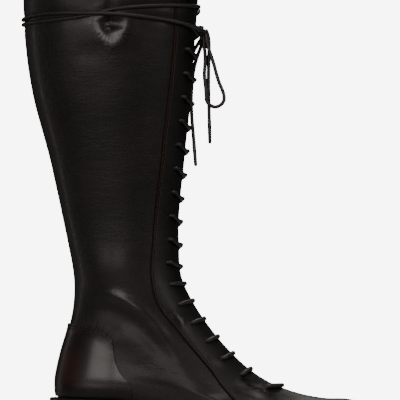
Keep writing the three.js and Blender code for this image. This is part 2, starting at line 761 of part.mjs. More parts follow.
// The crossings as flat four-sided cells. X is across, 1 at the inner side's holes and -1 at the
// outer side's, times the reach, and Y goes up by one pitch a row.
function crossingCells(reach) {
  const last = lacedRows - 1;
  const hole = (side, row) => new THREE.Vector2(side * reach, row * eyeletPitch);
  const crossing = (row) => new THREE.Vector2(0, (row + crossingRise) * eyeletPitch);
  // The hole's corner inside the net and the one outside it
  const holeCorners = (side, row) => {
    const at = hole(side, row);
    if (row > 0 && row < last) {
      const inside = fork(at, crossing(row - 1), crossing(row));
      return [inside, at.clone().multiplyScalar(2).sub(inside)];
    }
    const way = crossing(row === 0 ? 0 : row - 1).sub(at).normalize();
    const across = new THREE.Vector2(-way.y, way.x).multiplyScalar(netWidth / 2);
    if (across.y > 0 === (row > 0)) return [at.clone().add(across), at.clone().sub(across)];
    return [at.clone().sub(across), at.clone().add(across)];
  };
  const cells = [];
  for (let row = 0; row < last; row += 1) {
    const at = crossing(row);
    const top = fork(at, hole(1, row + 1), hole(-1, row + 1));
    const bottom = fork(at, hole(1, row), hole(-1, row));
    const sides = [1, -1].map((side) => fork(at, hole(side, row), hole(side, row + 1)));
    cells.push([sides[0], top, sides[1], bottom]);
    [1, -1].forEach((side, i) => {
      const [upIn, upOut] = holeCorners(side, row + 1);
      const [lowIn, lowOut] = holeCorners(side, row);
      cells.push(...laceCells([top, upIn], [sides[i], upOut]));
      cells.push(...laceCells([sides[i], lowOut], [bottom, lowIn]));
    });
  }
  return cells;
}

// The crossings laid over the facings. Sides that only one cell has get a wall.
function makeCrossings() {
  const reach = eyeletPitch;
  const cells = crossingCells(reach).map((cell) =>
    (THREE.ShapeUtils.isClockWise(cell) ? cell.toReversed() : cell));
  const place = (p, lift) => {
    const row = Math.min(lacedRows - 2, Math.max(0, Math.floor(p.y / eyeletPitch)));
    const climb = mix(laceRows[row], laceRows[row + 1], p.y / eyeletPitch - row);
    const under = mix(gapLift, netLift, smoothStep(0, 0.4, Math.abs(p.x) / reach));
    return skin(climb, -p.x / reach * eyeletRound(climb), under + lift);
  };
  const sideName = (a, b) => [a.x, a.y, b.x, b.y].map((v) => (v + 0).toFixed(3)).join();
  const sideNames = new Set(cells.flatMap((cell) =>
    cell.map((a, i) => sideName(a, cell[(i + 1) % 4]))));
  const points = [];
  for (const cell of cells) {
    const upper = cell.map((p) => place(p, netThick));
    const lower = cell.map((p) => place(p, 0));
    points.push(upper[0], upper[1], upper[2], upper[0], upper[2], upper[3]);
    points.push(lower[0], lower[2], lower[1], lower[0], lower[3], lower[2]);
    cell.forEach((a, i) => {
      const k = (i + 1) % 4;
      if (sideNames.has(sideName(cell[k], a))) return;
      points.push(lower[i], lower[k], upper[k], lower[i], upper[k], upper[i]);
    });
  }
  return toSolid(toGeometry(points, points.map((_, i) => i)));
}

// A point at a height of the shaft. around is a share of a full turn from the front by the outer
// side, and lift the distance off the skin.
function shaftPoint(height, around, lift) {
  const climb = climbWhere((row) => row.frontZ > height);
  return skin(climb, around * 2 * Math.PI, lift);
}

// The lace's two ends wound round the shaft, from the throat to the knot
function makeWrap() {
  const strand = ({ around, height, lift }) => {
    const points = Array.from({ length: wrapSteps + 1 }, (_, k) => {
      const at = mix(around[0], around[around.length - 1], k / wrapSteps);
      return shaftPoint(knotHeight + through(around, height, at), at,
        laceLift + through(around, lift, at));
    });
    return cord(points, laceRadius, wrapSteps, wrapSides);
  };
  return strand(outerStrand).add(strand(innerStrand));
}

const knotMiddle = shaftPoint(knotHeight, 0, knotLift);

function makeKnot() {
  const geometry = new THREE.SphereGeometry(1, 10, 7);
  geometry.scale(knotDeep / 2, knotWide / 2, knotTall / 2);
  geometry.translate(knotMiddle.x, knotMiddle.y, knotMiddle.z);
  return toSolid(geometry);
}

// A route given from the middle of the knot
function fromKnot(rows) {
  return rows.map(([x, y, z]) => new THREE.Vector3(x, y, z).add(knotMiddle));
}

// A route on the inner side of the shaft, given as the wrap's rows are
function alongShaft(rows) {
  return rows.map(([around, height, lift]) =>
    shaftPoint(knotHeight + height, around, laceLift + lift));
}

// The stiff tag on the end of a route
function makeAglet(route) {
  const end = route[route.length - 1];
  const along = end.clone().sub(route[route.length - 2]).normalize();
  const start = end.clone().addScaledVector(along, fitGap);
  const points = [start, start.clone().addScaledVector(along, agletLength)];
  return cord(points, agletRadius, 1, 8);
}

const nearLoop = fromKnot(nearLoopRoute);
const nearTail = fromKnot(nearTailRoute);
const farLoop = alongShaft(farLoopRoute);
const farTail = alongShaft(farTailRoute);

const group = new THREE.Group();

function addPiece(name, solid, color, roughness, metalness = 0) {
  const material = new THREE.MeshStandardMaterial({ color, roughness, metalness });
  const mesh = new THREE.Mesh(fromSolid(solid), material);
  mesh.name = name;
  group.add(mesh);
}

addPiece("upper", makeUpper(), 0x1c1917, 0.45);
addPiece("front_panel", makeFrontPanel(), 0x191614, 0.45);
addPiece("heel_counter", makeHeelCounter(), 0x1b1816, 0.45);
addPiece("tongue", makeTongue(), 0x171514, 0.55);
addPiece("insole", makeInsole(), 0x6b5138, 0.8);
addPiece("welt", makeWelt(), 0x171311, 0.55);
addPiece("outsole", makeOutsole(), 0x141211, 0.7);
addPiece("heel_block", makeHeelBlock(), 0x151210, 0.5);
addPiece("heel_lift", makeHeelLift(), 0x121212, 0.8);

addPiece("lace_crossings", makeCrossings(), 0x1d1b1a, 0.8);
addPiece("lace_wrap", makeWrap(), 0x1d1b1a, 0.8);
addPiece("lace_knot", makeKnot(), 0x1d1b1a, 0.8);
addPiece("lace_loop_near", cord(nearLoop, laceRadius, 16, 8), 0x1d1b1a, 0.8);
addPiece("lace_loop_far", cord(farLoop, laceRadius, 16, 8), 0x1d1b1a, 0.8);
addPiece("lace_tail_near", cord(nearTail, laceRadius, 9, 8), 0x1d1b1a, 0.8);
addPiece("lace_tail_far", cord(farTail, laceRadius, 11, 8), 0x1d1b1a, 0.8);
addPiece("aglet_near", makeAglet(nearTail), 0x2a2726, 0.4);
addPiece("aglet_far", makeAglet(farTail), 0x2a2726, 0.4);

export default group;
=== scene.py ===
import bmesh
import bpy
import math
import numpy as np
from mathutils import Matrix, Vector


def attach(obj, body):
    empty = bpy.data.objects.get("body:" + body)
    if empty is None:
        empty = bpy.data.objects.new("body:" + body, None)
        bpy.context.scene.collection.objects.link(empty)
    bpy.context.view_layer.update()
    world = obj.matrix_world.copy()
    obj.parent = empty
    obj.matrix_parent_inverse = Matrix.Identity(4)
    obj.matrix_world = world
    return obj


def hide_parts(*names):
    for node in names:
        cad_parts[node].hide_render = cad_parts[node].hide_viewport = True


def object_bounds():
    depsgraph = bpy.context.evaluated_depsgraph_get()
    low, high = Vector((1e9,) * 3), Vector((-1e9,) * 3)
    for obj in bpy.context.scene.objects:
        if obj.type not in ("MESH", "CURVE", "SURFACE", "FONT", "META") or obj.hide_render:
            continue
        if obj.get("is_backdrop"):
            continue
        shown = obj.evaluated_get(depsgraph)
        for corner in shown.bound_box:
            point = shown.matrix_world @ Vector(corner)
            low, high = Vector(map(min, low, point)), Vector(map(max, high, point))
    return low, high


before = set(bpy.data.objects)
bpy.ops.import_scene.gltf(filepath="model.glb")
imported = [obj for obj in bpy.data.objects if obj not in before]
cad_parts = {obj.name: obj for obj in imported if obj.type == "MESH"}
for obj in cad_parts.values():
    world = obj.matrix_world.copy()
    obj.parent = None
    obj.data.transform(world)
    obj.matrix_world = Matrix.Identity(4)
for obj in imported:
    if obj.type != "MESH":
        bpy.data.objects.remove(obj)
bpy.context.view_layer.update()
print("frame loaded")

mm = 0.001

# Camera, light and floor

view = {"middle": (0.0882, 0.2116), "distance": 7.0, "width": 0.328}

cameraData = bpy.data.cameras.new("camera")
cameraData.sensor_width = 36
cameraData.lens = 36 * view["distance"] / view["width"]
camera = bpy.data.objects.new("camera", cameraData)
camera.location = (view["middle"][0], -view["distance"], view["middle"][1])
camera.rotation_euler = (math.pi / 2, 0, 0)
bpy.context.scene.collection.objects.link(camera)
bpy.context.scene.camera = camera


def place(obj):
    bpy.context.scene.collection.objects.link(obj)
    return obj


# Form of the boot: the same tables as the solids have, in millimetres

boot = {
    "height": 408, "bend": 146, "length": 267, "ball": 92, "calfDepth": 145.5, "calfWidth": 94,
    "setback": 31, "bendShare": 0.383, "weltThick": 3.7, "outsoleThick": 5.5, "gap": 0.3,
    "heelRise": 38.7, "seatTilt": 0.04, "toeSpring": 7, "flatFront": 185, "flatBack": 138,
    "seatFront": 12, "throatStart": 163, "throatGap": 4.6, "throatTip": 0.8, "throatFade": 16,
    "pitch": 19.5, "rows": 20, "lacedRows": 18, "firstEyelet": 155, "dipPeak": 12.2, "sideShift": 0.025,
}
footColumns = ["front", "frontRise", "back", "backRise", "hug", "dip", "blunt",
               "tip", "ball", "waist", "heel", "rear", "facing", "holes"]
footSections = [
    [0.988, 0.000, 0.004, 0.000, 1.00, 0.000, 0.72, 0.935, 0.990, 0.700, 0.880, 0.870, 0.385, 0.020],
    [0.997, 0.041, 0.001, 0.040, 0.98, 0.000, 0.74, 0.957, 1.030, 0.728, 0.913, 0.891, 0.392, 0.020],
    [1.000, 0.103, 0.000, 0.081, 0.93, 0.000, 0.76, 0.935, 1.045, 0.750, 0.935, 0.902, 0.397, 0.020],
    [0.981, 0.186, 0.000, 0.123, 0.85, 0.020, 0.80, 0.826, 1.035, 0.761, 0.935, 0.891, 0.392, 0.020],
    [0.914, 0.266, 0.001, 0.175, 0.55, 0.041, 0.86, 0.674, 0.946, 0.761, 0.924, 0.870, 0.374, 0.020],
    [0.828, 0.288, 0.006, 0.254, 0.35, 0.041, 0.92, 0.587, 0.826, 0.761, 0.891, 0.837, 0.337, 0.020],
    [0.734, 0.327, 0.017, 0.385, 0.20, 0.027, 0.96, 0.543, 0.750, 0.739, 0.837, 0.783, 0.303, 0.050],
    [0.625, 0.428, 0.038, 0.584, 0.10, 0.014, 1.00, 0.565, 0.685, 0.717, 0.783, 0.739, 0.262, 0.100],
    [0.514, 0.609, 0.053, 0.782, 0.00, 0.000, 1.00, 0.609, 0.685, 0.728, 0.761, 0.717, 0.280, 0.120],
    [0.440, 0.799, 0.059, 0.948, 0.00, 0.000, 1.00, 0.652, 0.728, 0.783, 0.783, 0.717, 0.322, 0.140],
    [0.394, 1.000, 0.054, 1.104, 0.00, 0.000, 1.00, 0.674, 0.761, 0.815, 0.793, 0.728, 0.278, 0.127],
]
shaftColumns = ["front", "frontRise", "back", "backRise", "tip", "ball", "waist", "heel", "rear",
                "facing", "holes"]
shaftSections = [
    [0.000, 0.125, 0.632, 0.122, 0.649, 0.734, 0.755, 0.734, 0.681, 0.227, 0.090],
    [0.031, 0.376, 0.731, 0.374, 0.723, 0.840, 0.872, 0.840, 0.777, 0.167, 0.067],
    [0.071, 0.595, 0.832, 0.592, 0.819, 0.957, 1.000, 0.968, 0.894, 0.138, 0.056],
    [0.088, 0.741, 0.871, 0.744, 0.840, 0.989, 1.032, 1.000, 0.915, 0.119, 0.050],
    [0.107, 0.876, 0.882, 0.876, 0.840, 0.989, 1.021, 0.989, 0.904, 0.124, 0.054],
    [0.121, 1.000, 0.879, 1.000, 0.840, 0.979, 1.011, 0.979, 0.894, 0.125, 0.052],
    [0.131, 1.061, 0.876, 1.061, 0.840, 0.974, 1.006, 0.974, 0.890, 0.125, 0.052],
]
widthPlaces = [0, 0.3, 0.6, 0.87, 1]
swingPlaces = [0, 0.35, 0.6, 0.78, 0.92, 1]
swingShifts = [0, -0.035, -0.012, 0.022, 0.07, 0.1]

# Lifts off the skin on which the outline is measured
lifts = {"panel": 0.3, "panelWall": 1.2, "upper": -1.2, "upperWall": 2.2, "tongue": -7.0, "tongueFoot": -3.7,
         "tongueWall": 2.2, "fullBack": 0.9}


def mix(a, b, t):
    return a + (b - a) * t


def smoothStep(low, high, x):
    t = np.clip((np.asarray(x, float) - low) / (high - low), 0, 1)
    return t * t * (3 - 2 * t)


# A smooth curve through values at rising places. values has one row, or one for each x.
def through(places, values, x):
    places = np.asarray(places, float)
    values = np.asarray(values, float)
    x = np.clip(np.asarray(x, float), places[0], places[-1])
    if values.ndim == 1:
        values = np.broadcast_to(values, x.shape + values.shape)
    span = np.diff(places)
    slope = np.diff(values, axis=-1) / span
    tangent = np.empty_like(values)
    tangent[..., 0] = slope[..., 0]
    tangent[..., -1] = slope[..., -1]
    tangent[..., 1:-1] = (slope[..., :-1] * span[1:] + slope[..., 1:] * span[:-1]) / (span[1:] + span[:-1])
    i = np.clip(np.searchsorted(places, x, side="left") - 1, 0, len(places) - 2)
    pick = lambda table, k: np.take_along_axis(table, k[..., None], axis=-1)[..., 0]
    width = span[i]
    t = (x - places[i]) / width
    bend = t * t * (3 - 2 * t)
    start = t * (1 - t) ** 2 * width * pick(tangent, i)
    end = t * t * (t - 1) * width * pick(tangent, i + 1)
    return mix(pick(values, i), pick(values, i + 1), bend) + start + end


def featherHeight(x):
    ramp = smoothStep(0, 1, (boot["flatBack"] - x) / (boot["flatBack"] - boot["seatFront"]))
    tilt = boot["seatTilt"] * np.maximum(0, boot["seatFront"] - x)
    toeRun = boot["length"] - boot["setback"] - boot["flatFront"]
    spring = boot["toeSpring"] * np.maximum(0, (x - boot["flatFront"]) / toeRun) ** 2
    base = boot["weltThick"] + boot["outsoleThick"] + 2 * boot["gap"]
    return base + boot["heelRise"] * ramp + tilt + spring


def makeColumns():
    foot = np.array(footSections)
    shaft = np.array(shaftSections)
    f = {name: foot[:, i] for i, name in enumerate(footColumns)}
    s = {name: shaft[:, i] for i, name in enumerate(shaftColumns)}
    bendAt = boot["bendShare"] * boot["length"] - boot["setback"]
    frontX = f["front"] * boot["length"] - boot["setback"]
    backX = f["back"] * boot["length"] - boot["setback"]
    none = np.zeros(len(shaft))
    join = np.concatenate
    table = {
        "frontX": join([frontX, bendAt + s["front"] * boot["calfDepth"]]),
        "backX": join([backX, bendAt - s["back"] * boot["calfDepth"]]),
        "frontZ": join([mix(featherHeight(frontX), boot["bend"], f["frontRise"]),
                        mix(boot["bend"], boot["height"], s["frontRise"])]),
        "backZ": join([mix(featherHeight(backX), boot["bend"], f["backRise"]),
                       mix(boot["bend"], boot["height"], s["backRise"])]),
        "hug": join([f["hug"], none]),
        "dip": join([f["dip"] * boot["bend"], none]),
        "blunt": join([f["blunt"], none + 1]),
        "facing": join([f["facing"], s["facing"]]),
        "holes": join([f["holes"], s["holes"]]),
    }
    for name in ["tip", "ball", "waist", "heel", "rear"]:
        table[name] = join([f[name] * boot["ball"] / 2, s[name] * boot["calfWidth"] / 2])
    return table


columns = makeColumns()
stepFront = np.hypot(np.diff(columns["frontX"]), np.diff(columns["frontZ"]))
stepBack = np.hypot(np.diff(columns["backX"]), np.diff(columns["backZ"]))
climbs = np.concatenate([[0], np.cumsum((stepFront + stepBack) / 2)])
collar = climbs[-2]


def column(name, climb):
    return through(climbs, columns[name], climb)


# Points of the skin in millimetres. around is 0 at the front and pi at the back; the outer side of
# the foot lies between them. dipPeak makes the deepest place of a dip as deep as its value says.
def skinPoint(climb, around):
    climb, around = np.broadcast_arrays(np.asarray(climb, float), np.asarray(around, float))
    at = {name: column(name, climb) for name in columns}
    along = (1 - np.cos(around)) / 2
    side = np.where(np.sin(around) < 0, 1.0, -1.0)
    x = mix(at["frontX"], at["backX"], along)
    chord = mix(featherHeight(at["frontX"]), featherHeight(at["backX"]), along)
    hugging = at["hug"] * (featherHeight(x) - chord)
    dipping = at["dip"] * boot["dipPeak"] * along * (1 - along) ** 4
    z = mix(at["frontZ"], at["backZ"], along) + hugging - dipping
    shifted = along + side * boot["sideShift"] * np.sin(math.pi * along)
    widths = np.stack([at[name] for name in ["tip", "ball", "waist", "heel", "rear"]], axis=-1)
    half = through(widthPlaces, widths, shifted)
    cap = np.abs(np.sin(around)) ** at["blunt"]
    fade = 1 - smoothStep(climbs[7], climbs[10], climb)
    swing = fade * boot["ball"] * through(swingPlaces, swingShifts, (x + boot["setback"]) / boot["length"])
    return np.stack([x, swing + side * cap * half, z], axis=-1)


def unit(v):
    return v / np.maximum(np.linalg.norm(v, axis=-1, keepdims=True), 1e-9)


# Length of a line of points up to each of them
def runAlong(points):
    return np.concatenate([[0], np.cumsum(np.linalg.norm(np.diff(points, axis=0), axis=1))])


def skinNormal(climb, around):
    up = skinPoint(np.minimum(climbs[-1], climb + 0.6), around) - skinPoint(np.maximum(0, climb - 0.6), around)
    turn = skinPoint(climb, around + 0.02) - skinPoint(climb, around - 0.02)
    return unit(np.cross(up, turn))


def skin(climb, around, lift):
    climb, around, lift = np.broadcast_arrays(climb, around, lift)
    return skinPoint(climb, around) + skinNormal(climb, around) * lift[..., None]


# Smallest value in a range at which a test of the points holds
def solve(test, low, high, steps=30):
    for _ in range(steps):
        middle = (low + high) / 2
        found = test(middle)
        high = np.where(found, middle, high)
        low = np.where(found, low, middle)
    return high


def aroundAtReach(climb, reach):
    climb = np.asarray(climb, float)
    front = skinPoint(climb, 0.0)[..., 1]
    return solve(lambda a: front - skinPoint(climb, a)[..., 1] >= reach,
                 np.zeros(climb.shape), np.full(climb.shape, math.pi / 2))


def climbAtFront(height):
    height = np.asarray(height, float)
    return solve(lambda c: column("frontZ", c) > height,
                 np.zeros(height.shape), np.full(height.shape, climbs[-1]), 40)


# Climb at which the front of the boot comes behind a place
def climbAtX(x):
    return float(solve(lambda c: column("frontX", c) < x, np.array(0.0), np.array(climbs[-1]), 40))


throatClimb = climbAtX(boot["throatStart"])


def throatAround(climb):
    climb = np.asarray(climb, float)
    opening = smoothStep(throatClimb, throatClimb + boot["throatFade"], climb)
    half = np.where(climb < throatClimb, 0, mix(boot["throatTip"], boot["throatGap"], opening))
    return np.where(climb < throatClimb, 0, aroundAtReach(climb, half))


def facingAround(climb):
    return np.arccos(1 - 2 * column("facing", climb))


def holeAround(climb):
    return np.arccos(1 - 2 * column("holes", climb))


def makeRowClimbs():
    rows = [climbAtX(boot["firstEyelet"])]
    while len(rows) < boot["rows"]:
        start = skinPoint(rows[-1], 0.0)
        rows.append(float(solve(lambda c: np.linalg.norm(skinPoint(c, 0.0) - start) >= boot["pitch"],
                                np.array(rows[-1]), np.array(rows[-1] + 60.0))))
    return np.array(rows)


rowClimbs = makeRowClimbs()
print("form ready")

# Creases of the leather: side of the boot (-1 outer, 1 inner, 0 both), height and width, share of shine along
# it, and route in the side view as X and Z in millimetres. Shine also paints a highlight into the leather's
# colour; creases without height are only that painted highlight.

creaseColumns = ["side", "rise", "width", "shine", "route"]
creases = [dict(zip(creaseColumns, row)) for row in [
    (-1, 2.5, 5.6, 0, [(8, 132), (18.5, 132.5), (29, 126), (39, 120.5), (47, 112.5), (59, 97.5),
     (71, 80.5)]),
    (-1, 0.0, 6.2, 0.85, [(12, 135), (22, 133), (31, 128), (41, 121.5), (49, 113), (57, 103)]),
    (-1, -1.6, 8.5, 0, [(-4, 121), (14, 124.5), (27, 119.5), (41, 108), (55, 93), (68, 78)]),
    (-1, 0.5, 8.0, 0, [(20, 103), (36, 92), (52, 80)]),
    (-1, -2.4, 2.4, 0, [(14.8, 410), (15.2, 384), (15.4, 364), (15.2, 350)]),
    (-1, -2.3, 9.5, 0, [(16, 360), (16.4, 350)]),
    (-1, 1.1, 6.8, 0.9, [(1, 370), (3, 357), (8, 344), (16.5, 337.5), (25, 344), (30.5, 357), (32.5, 370)]),
    (-1, 0.0, 6.5, 0.8, [(9, 350), (16.5, 342.5), (24, 350)]),
    (-1, -0.7, 7.5, 0, [(-12, 334), (-2, 330), (7, 329.6)]),
    (-1, -0.35, 5.0, 0, [(-14, 143), (-2, 139.5), (9, 137)]),
    (-1, 1.1, 5.6, 0.6, [(64, 119), (71, 114), (77, 112)]),
    (-1, -0.6, 2.6, 0, [(60, 121), (66, 113), (70, 109)]),
    (-1, 1.0, 4.4, 0.9, [(118, 64), (130, 59), (141, 54), (152, 50)]),
    (-1, -0.7, 2.6, 0, [(116, 58), (126, 54), (134, 49)]),
    (-1, -0.6, 2.2, 0, [(122, 68), (131, 62), (138, 59)]),
    (-1, 0.5, 3.4, 0.15, [(96, 84), (104, 80), (109, 79)]),
    (-1, -0.5, 4.5, 0, [(60, 112), (66, 101), (76, 90)]),
    (1, 0.9, 5.5, 0, [(10, 133), (22, 131), (38, 122), (54, 104), (68, 83)]),
    (1, -1.1, 8.5, 0, [(0, 121), (18, 121), (32, 111), (47, 95), (60, 76)]),
    (1, -1.6, 3.4, 0, [(6, 410), (8, 384), (10, 362), (9, 350)]),
    (1, 0.6, 5.0, 0, [(-3, 354), (2, 343), (12, 338), (22, 344), (27, 355)]),
    (0, -0.8, 3.6, 0, [(118, 52), (126, 44), (132, 30), (134, 20)]),
    (0, -0.7, 3.2, 0, [(128, 54), (138, 44), (145, 30), (148, 18)]),
    (0, 0.6, 3.4, 0, [(124, 53), (132, 44), (138.5, 30), (141, 18)]),
]]


# Distance of points from a straight piece and how far along it they lie
def segmentDistance(points, a, b):
    a, b = np.array(a, float), np.array(b, float)
    way = b - a
    t = np.clip(((points - a) @ way) / max(way @ way, 1e-9), 0, 1)
    return np.linalg.norm(points - (a + t[..., None] * way), axis=-1), t


# Each crease with the points' distance from its route in crease widths and its weight there. A crease
# that starts above the collar doesn't fade towards it.
def creaseMarks(flat):
    plan = flat[:, [0, 2]]
    for crease in creases:
        route = crease["route"]
        nearest = np.full(len(flat), 1e9)
        share = np.zeros(len(flat))
        for k in range(len(route) - 1):
            distance, t = segmentDistance(plan, route[k], route[k + 1])
            closer = distance < nearest
            nearest = np.where(closer, distance, nearest)
            share = np.where(closer, (k + t) / (len(route) - 1), share)
        ends = smoothStep(0, 0.22, share) * smoothStep(0, 0.28, 1 - share)
        if route[0][1] > boot["height"]:
            ends = smoothStep(0, 0.2, 1 - share)
        sideways = 1 if crease["side"] == 0 else smoothStep(2, 14, crease["side"] * flat[:, 1])
        yield crease, nearest / crease["width"], (0.25 + 0.75 * ends) * sideways * np.where(share > 0, 1, ends)


# How far the leather stands out of its plain form at each point
def creaseLift(points):
    flat = points.reshape(-1, 3)
    lift = np.zeros(len(flat))
    for crease, distance, weight in creaseMarks(flat):
        lift += crease["rise"] * np.exp(-(distance ** 2)) * weight
    x, y, z = flat[:, 0], flat[:, 1], flat[:, 2]
    slow = np.sin(x * 0.083 + z * 0.031 + y * 0.02) * np.sin(z * 0.047 - x * 0.022 + 1.3 + y * 0.03)
    slow += 0.5 * np.sin(x * 0.13 - z * 0.075 + 0.7) * np.sin(z * 0.11 + x * 0.05 + y * 0.05)
    lift += 0.13 * slow * smoothStep(30, 90, z)
    return lift.reshape(points.shape[:-1])


shineSpread = {"reach": 1.15, "most": 1.2}


# Shine at each point, as the first number of a map: glossier leather and a highlight painted into its colour
def creaseShine(points):
    flat = points.reshape(-1, 3)
    shine = np.zeros(len(flat))
    for crease, distance, weight in creaseMarks(flat):
        shine += crease["shine"] * np.exp(-((distance / shineSpread["reach"]) ** 2)) * weight
    return np.stack([np.clip(shine, 0, shineSpread["most"]), shine * 0], axis=1)


# Meshes

def plainObject(name, vertices, faces, uv=None, shine=None):
    mesh = bpy.data.meshes.new(name)
    mesh.from_pydata([tuple(v) for v in np.asarray(vertices) * mm], [], faces)
    for label, values in (("lay", uv), ("shine", shine)):
        if values is not None:
            layer = mesh.uv_layers.new(name=label)
            loops = np.array([values[loop.vertex_index] for loop in mesh.loops], float).ravel()
            layer.data.foreach_set("uv", loops)
    mesh.update()
    return place(bpy.data.objects.new(name, mesh))


def weld(obj):
    bm = bmesh.new()
    bm.from_mesh(obj.data)
    bmesh.ops.remove_doubles(bm, verts=bm.verts, dist=1e-6)
    thin = [f for f in bm.faces if f.calc_area() < 1e-14]
    bmesh.ops.delete(bm, geom=thin, context="FACES_ONLY")
    bm.to_mesh(obj.data)
    bm.free()


# Faces of a grid of points; outward when columns run to the right as seen from outside, rows up
def gridFaces(rows, cols, closed=False):
    faces = []
    for r in range(rows - 1):
        for c in range(cols if closed else cols - 1):
            d = (c + 1) % cols
            faces.append((r * cols + c, r * cols + d, (r + 1) * cols + d, (r + 1) * cols + c))
    return faces


# Place along an edge and distance from it, in millimetres, for each point
def edgeMap(points, edge):
    flat = points.reshape(-1, 3)
    run = runAlong(edge)
    best = np.full(len(flat), 1e9)
    along = np.zeros(len(flat))
    for k in range(len(edge) - 1):
        distance, t = segmentDistance(flat, edge[k], edge[k + 1])
        closer = distance < best
        best = np.where(closer, distance, best)
        along = np.where(closer, run[k] + t * (run[k + 1] - run[k]), along)
    return np.stack([along, best], axis=1)


# A sheet of leather with its wall, from rows of points. Finishes: outside, inside if given, cut edge.
def leatherSheet(name, points, wall, materials, uv=None, shine=None, faces=None):
    obj = plainObject(name, points.reshape(-1, 3), faces or gridFaces(*points.shape[:2]), uv, shine)
    weld(obj)
    for material in materials:
        obj.data.materials.append(material)
    solid = obj.modifiers.new("wall", "SOLIDIFY")
    solid.thickness = wall * mm
    solid.offset = -1
    solid.use_even_offset = False
    solid.material_offset = 1 if len(materials) > 2 else 0
    solid.material_offset_rim = len(materials) - 1
    return obj


def applyModifiers(obj):
    depsgraph = bpy.context.evaluated_depsgraph_get()
    depsgraph.update()
    mesh = bpy.data.meshes.new_from_object(obj.evaluated_get(depsgraph))
    obj.modifiers.clear()
    old = obj.data
    obj.data = mesh
    bpy.data.meshes.remove(old)
    return obj


def smooth(obj, angle):
    obj.data.shade_smooth()
    obj.data.set_sharp_from_angle(angle=math.radians(angle))
    return obj


def paint(obj, material):
    obj.data.materials.clear()
    obj.data.materials.append(material)
    return obj


def finishPiece(obj, slot, *nodes):
    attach(obj, "root")
    if nodes:
        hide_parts(*nodes)
    return obj


# Materials

def colour(red, green, blue):
    return (red, green, blue, 1.0)


class Wire:
    def __init__(self, tree, socket):
        self.tree = tree
        self.socket = socket

    def node(self, kind, settings=None, inputs=None, output=0):
        node = self.tree.nodes.new(kind)
        for key, value in (settings or {}).items():
            setattr(node, key, value)
        for key, value in (inputs or {}).items():
            if isinstance(value, Wire):
                self.tree.links.new(value.socket, node.inputs[key])
            else:
                node.inputs[key].default_value = value
        return Wire(self.tree, node.outputs[output])

    def math(self, operation, *values):
        return self.node("ShaderNodeMath", {"operation": operation}, dict(enumerate(values)))

    def __add__(self, other):
        return self.math("ADD", self, other)

    def __radd__(self, other):
        return self.math("ADD", other, self)

    def __sub__(self, other):
        return self.math("SUBTRACT", self, other)

    def __rsub__(self, other):
        return self.math("SUBTRACT", other, self)

    def __mul__(self, other):
        return self.math("MULTIPLY", self, other)

    def __rmul__(self, other):
        return self.math("MULTIPLY", other, self)

    def between(self, low, high):
        return self.node("ShaderNodeMapRange", {"interpolation_type": "SMOOTHSTEP"},
                         {"Value": self, "From Min": low, "From Max": high})

    def axis(self, k):
        return self.node("ShaderNodeSeparateXYZ", None, {0: self}, k)

    # A colour between two, each of them a wire or red, green and blue
    def blend(self, first, second):
        first, second = [end if isinstance(end, Wire) else colour(*end) for end in (first, second)]
        return self.node("ShaderNodeMix", {"data_type": "RGBA"}, {0: self, 6: first, 7: second}, 2)


def newMaterial(name, shared):
    material = bpy.data.materials.new(name)
    material.use_nodes = True
    tree = material.node_tree
    shader = tree.nodes["Principled BSDF"]
    for key, value in shared.items():
        shader.inputs[key].default_value = value
    wire = Wire(tree, None)
    return material, wire, wire.node("ShaderNodeTexCoord", None, None, "Object"), shader


def feed(shader, key, value):
    value.tree.links.new(value.socket, shader.inputs[key])


# Colour, roughness and height of the surface in metres
def dress(shader, tone, rough, height):
    bump = height.node("ShaderNodeBump", None, {"Strength": 1.0, "Distance": 1.0, "Height": height}, "Normal")
    for key, value in (("Base Color", tone), ("Roughness", rough), ("Normal", bump)):
        feed(shader, key, value)


def stretched(vector, scale):
    return vector.node("ShaderNodeMapping", None, {"Vector": vector, "Scale": scale}, "Vector")


def noise(vector, scale, detail=2.0, rough=0.5):
    return vector.node("ShaderNodeTexNoise", None,
                       {"Vector": vector, "Scale": scale, "Detail": detail, "Roughness": rough}, 0)


def layer(wire, name):
    return wire.node("ShaderNodeUVMap", {"uv_map": name}, None, "UV")


# seams: distances of the stitch rows from the edge in millimetres. Other lengths are in metres. The
# counter is worn low at the back and has little gloss there (lowCoat).
# The paler tone stands for wear, and on the pieces with shine also for a painted highlight.
leather = {
    "upper": {"dark": (0.0055, 0.0043, 0.004), "wornAndHighlight": (0.012, 0.0092, 0.0078), "rough": 0.48,
              "grain": 0.00011, "wrinkle": 0.00042, "coat": 0.14, "pucker": 0.0005, "seams": [],
              "dent": (0.0165, 0.352), "shine": True},
    "panel": {"dark": (0.0036, 0.003, 0.0031), "wornAndHighlight": (0.0085, 0.0066, 0.006), "rough": 0.45,
              "grain": 0.0001, "wrinkle": 0.0003, "coat": 0.06, "seams": [1.9], "shine": True},
    "counter": {"dark": (0.006, 0.0044, 0.004), "wornAndHighlight": (0.03, 0.0095, 0.006), "rough": 0.36,
                "grain": 0.00006, "wrinkle": 0.00022, "coat": 0.6, "lowCoat": 0.06, "pucker": 0.0004,
                "seams": [1.5, 3.7]},
    "tongue": {"dark": (0.0045, 0.004, 0.0038), "wornAndHighlight": (0.009, 0.008, 0.007), "rough": 0.6,
               "grain": 0.0001, "wrinkle": 0.0002, "coat": 0.0},
    "insole": {"dark": (0.11, 0.066, 0.038), "wornAndHighlight": (0.2, 0.13, 0.08), "rough": 0.6,
               "grain": 0.00005, "wrinkle": 0.00003, "coat": 0.0},
}
stitch = {"pitch": 2.4, "groove": 0.00026}
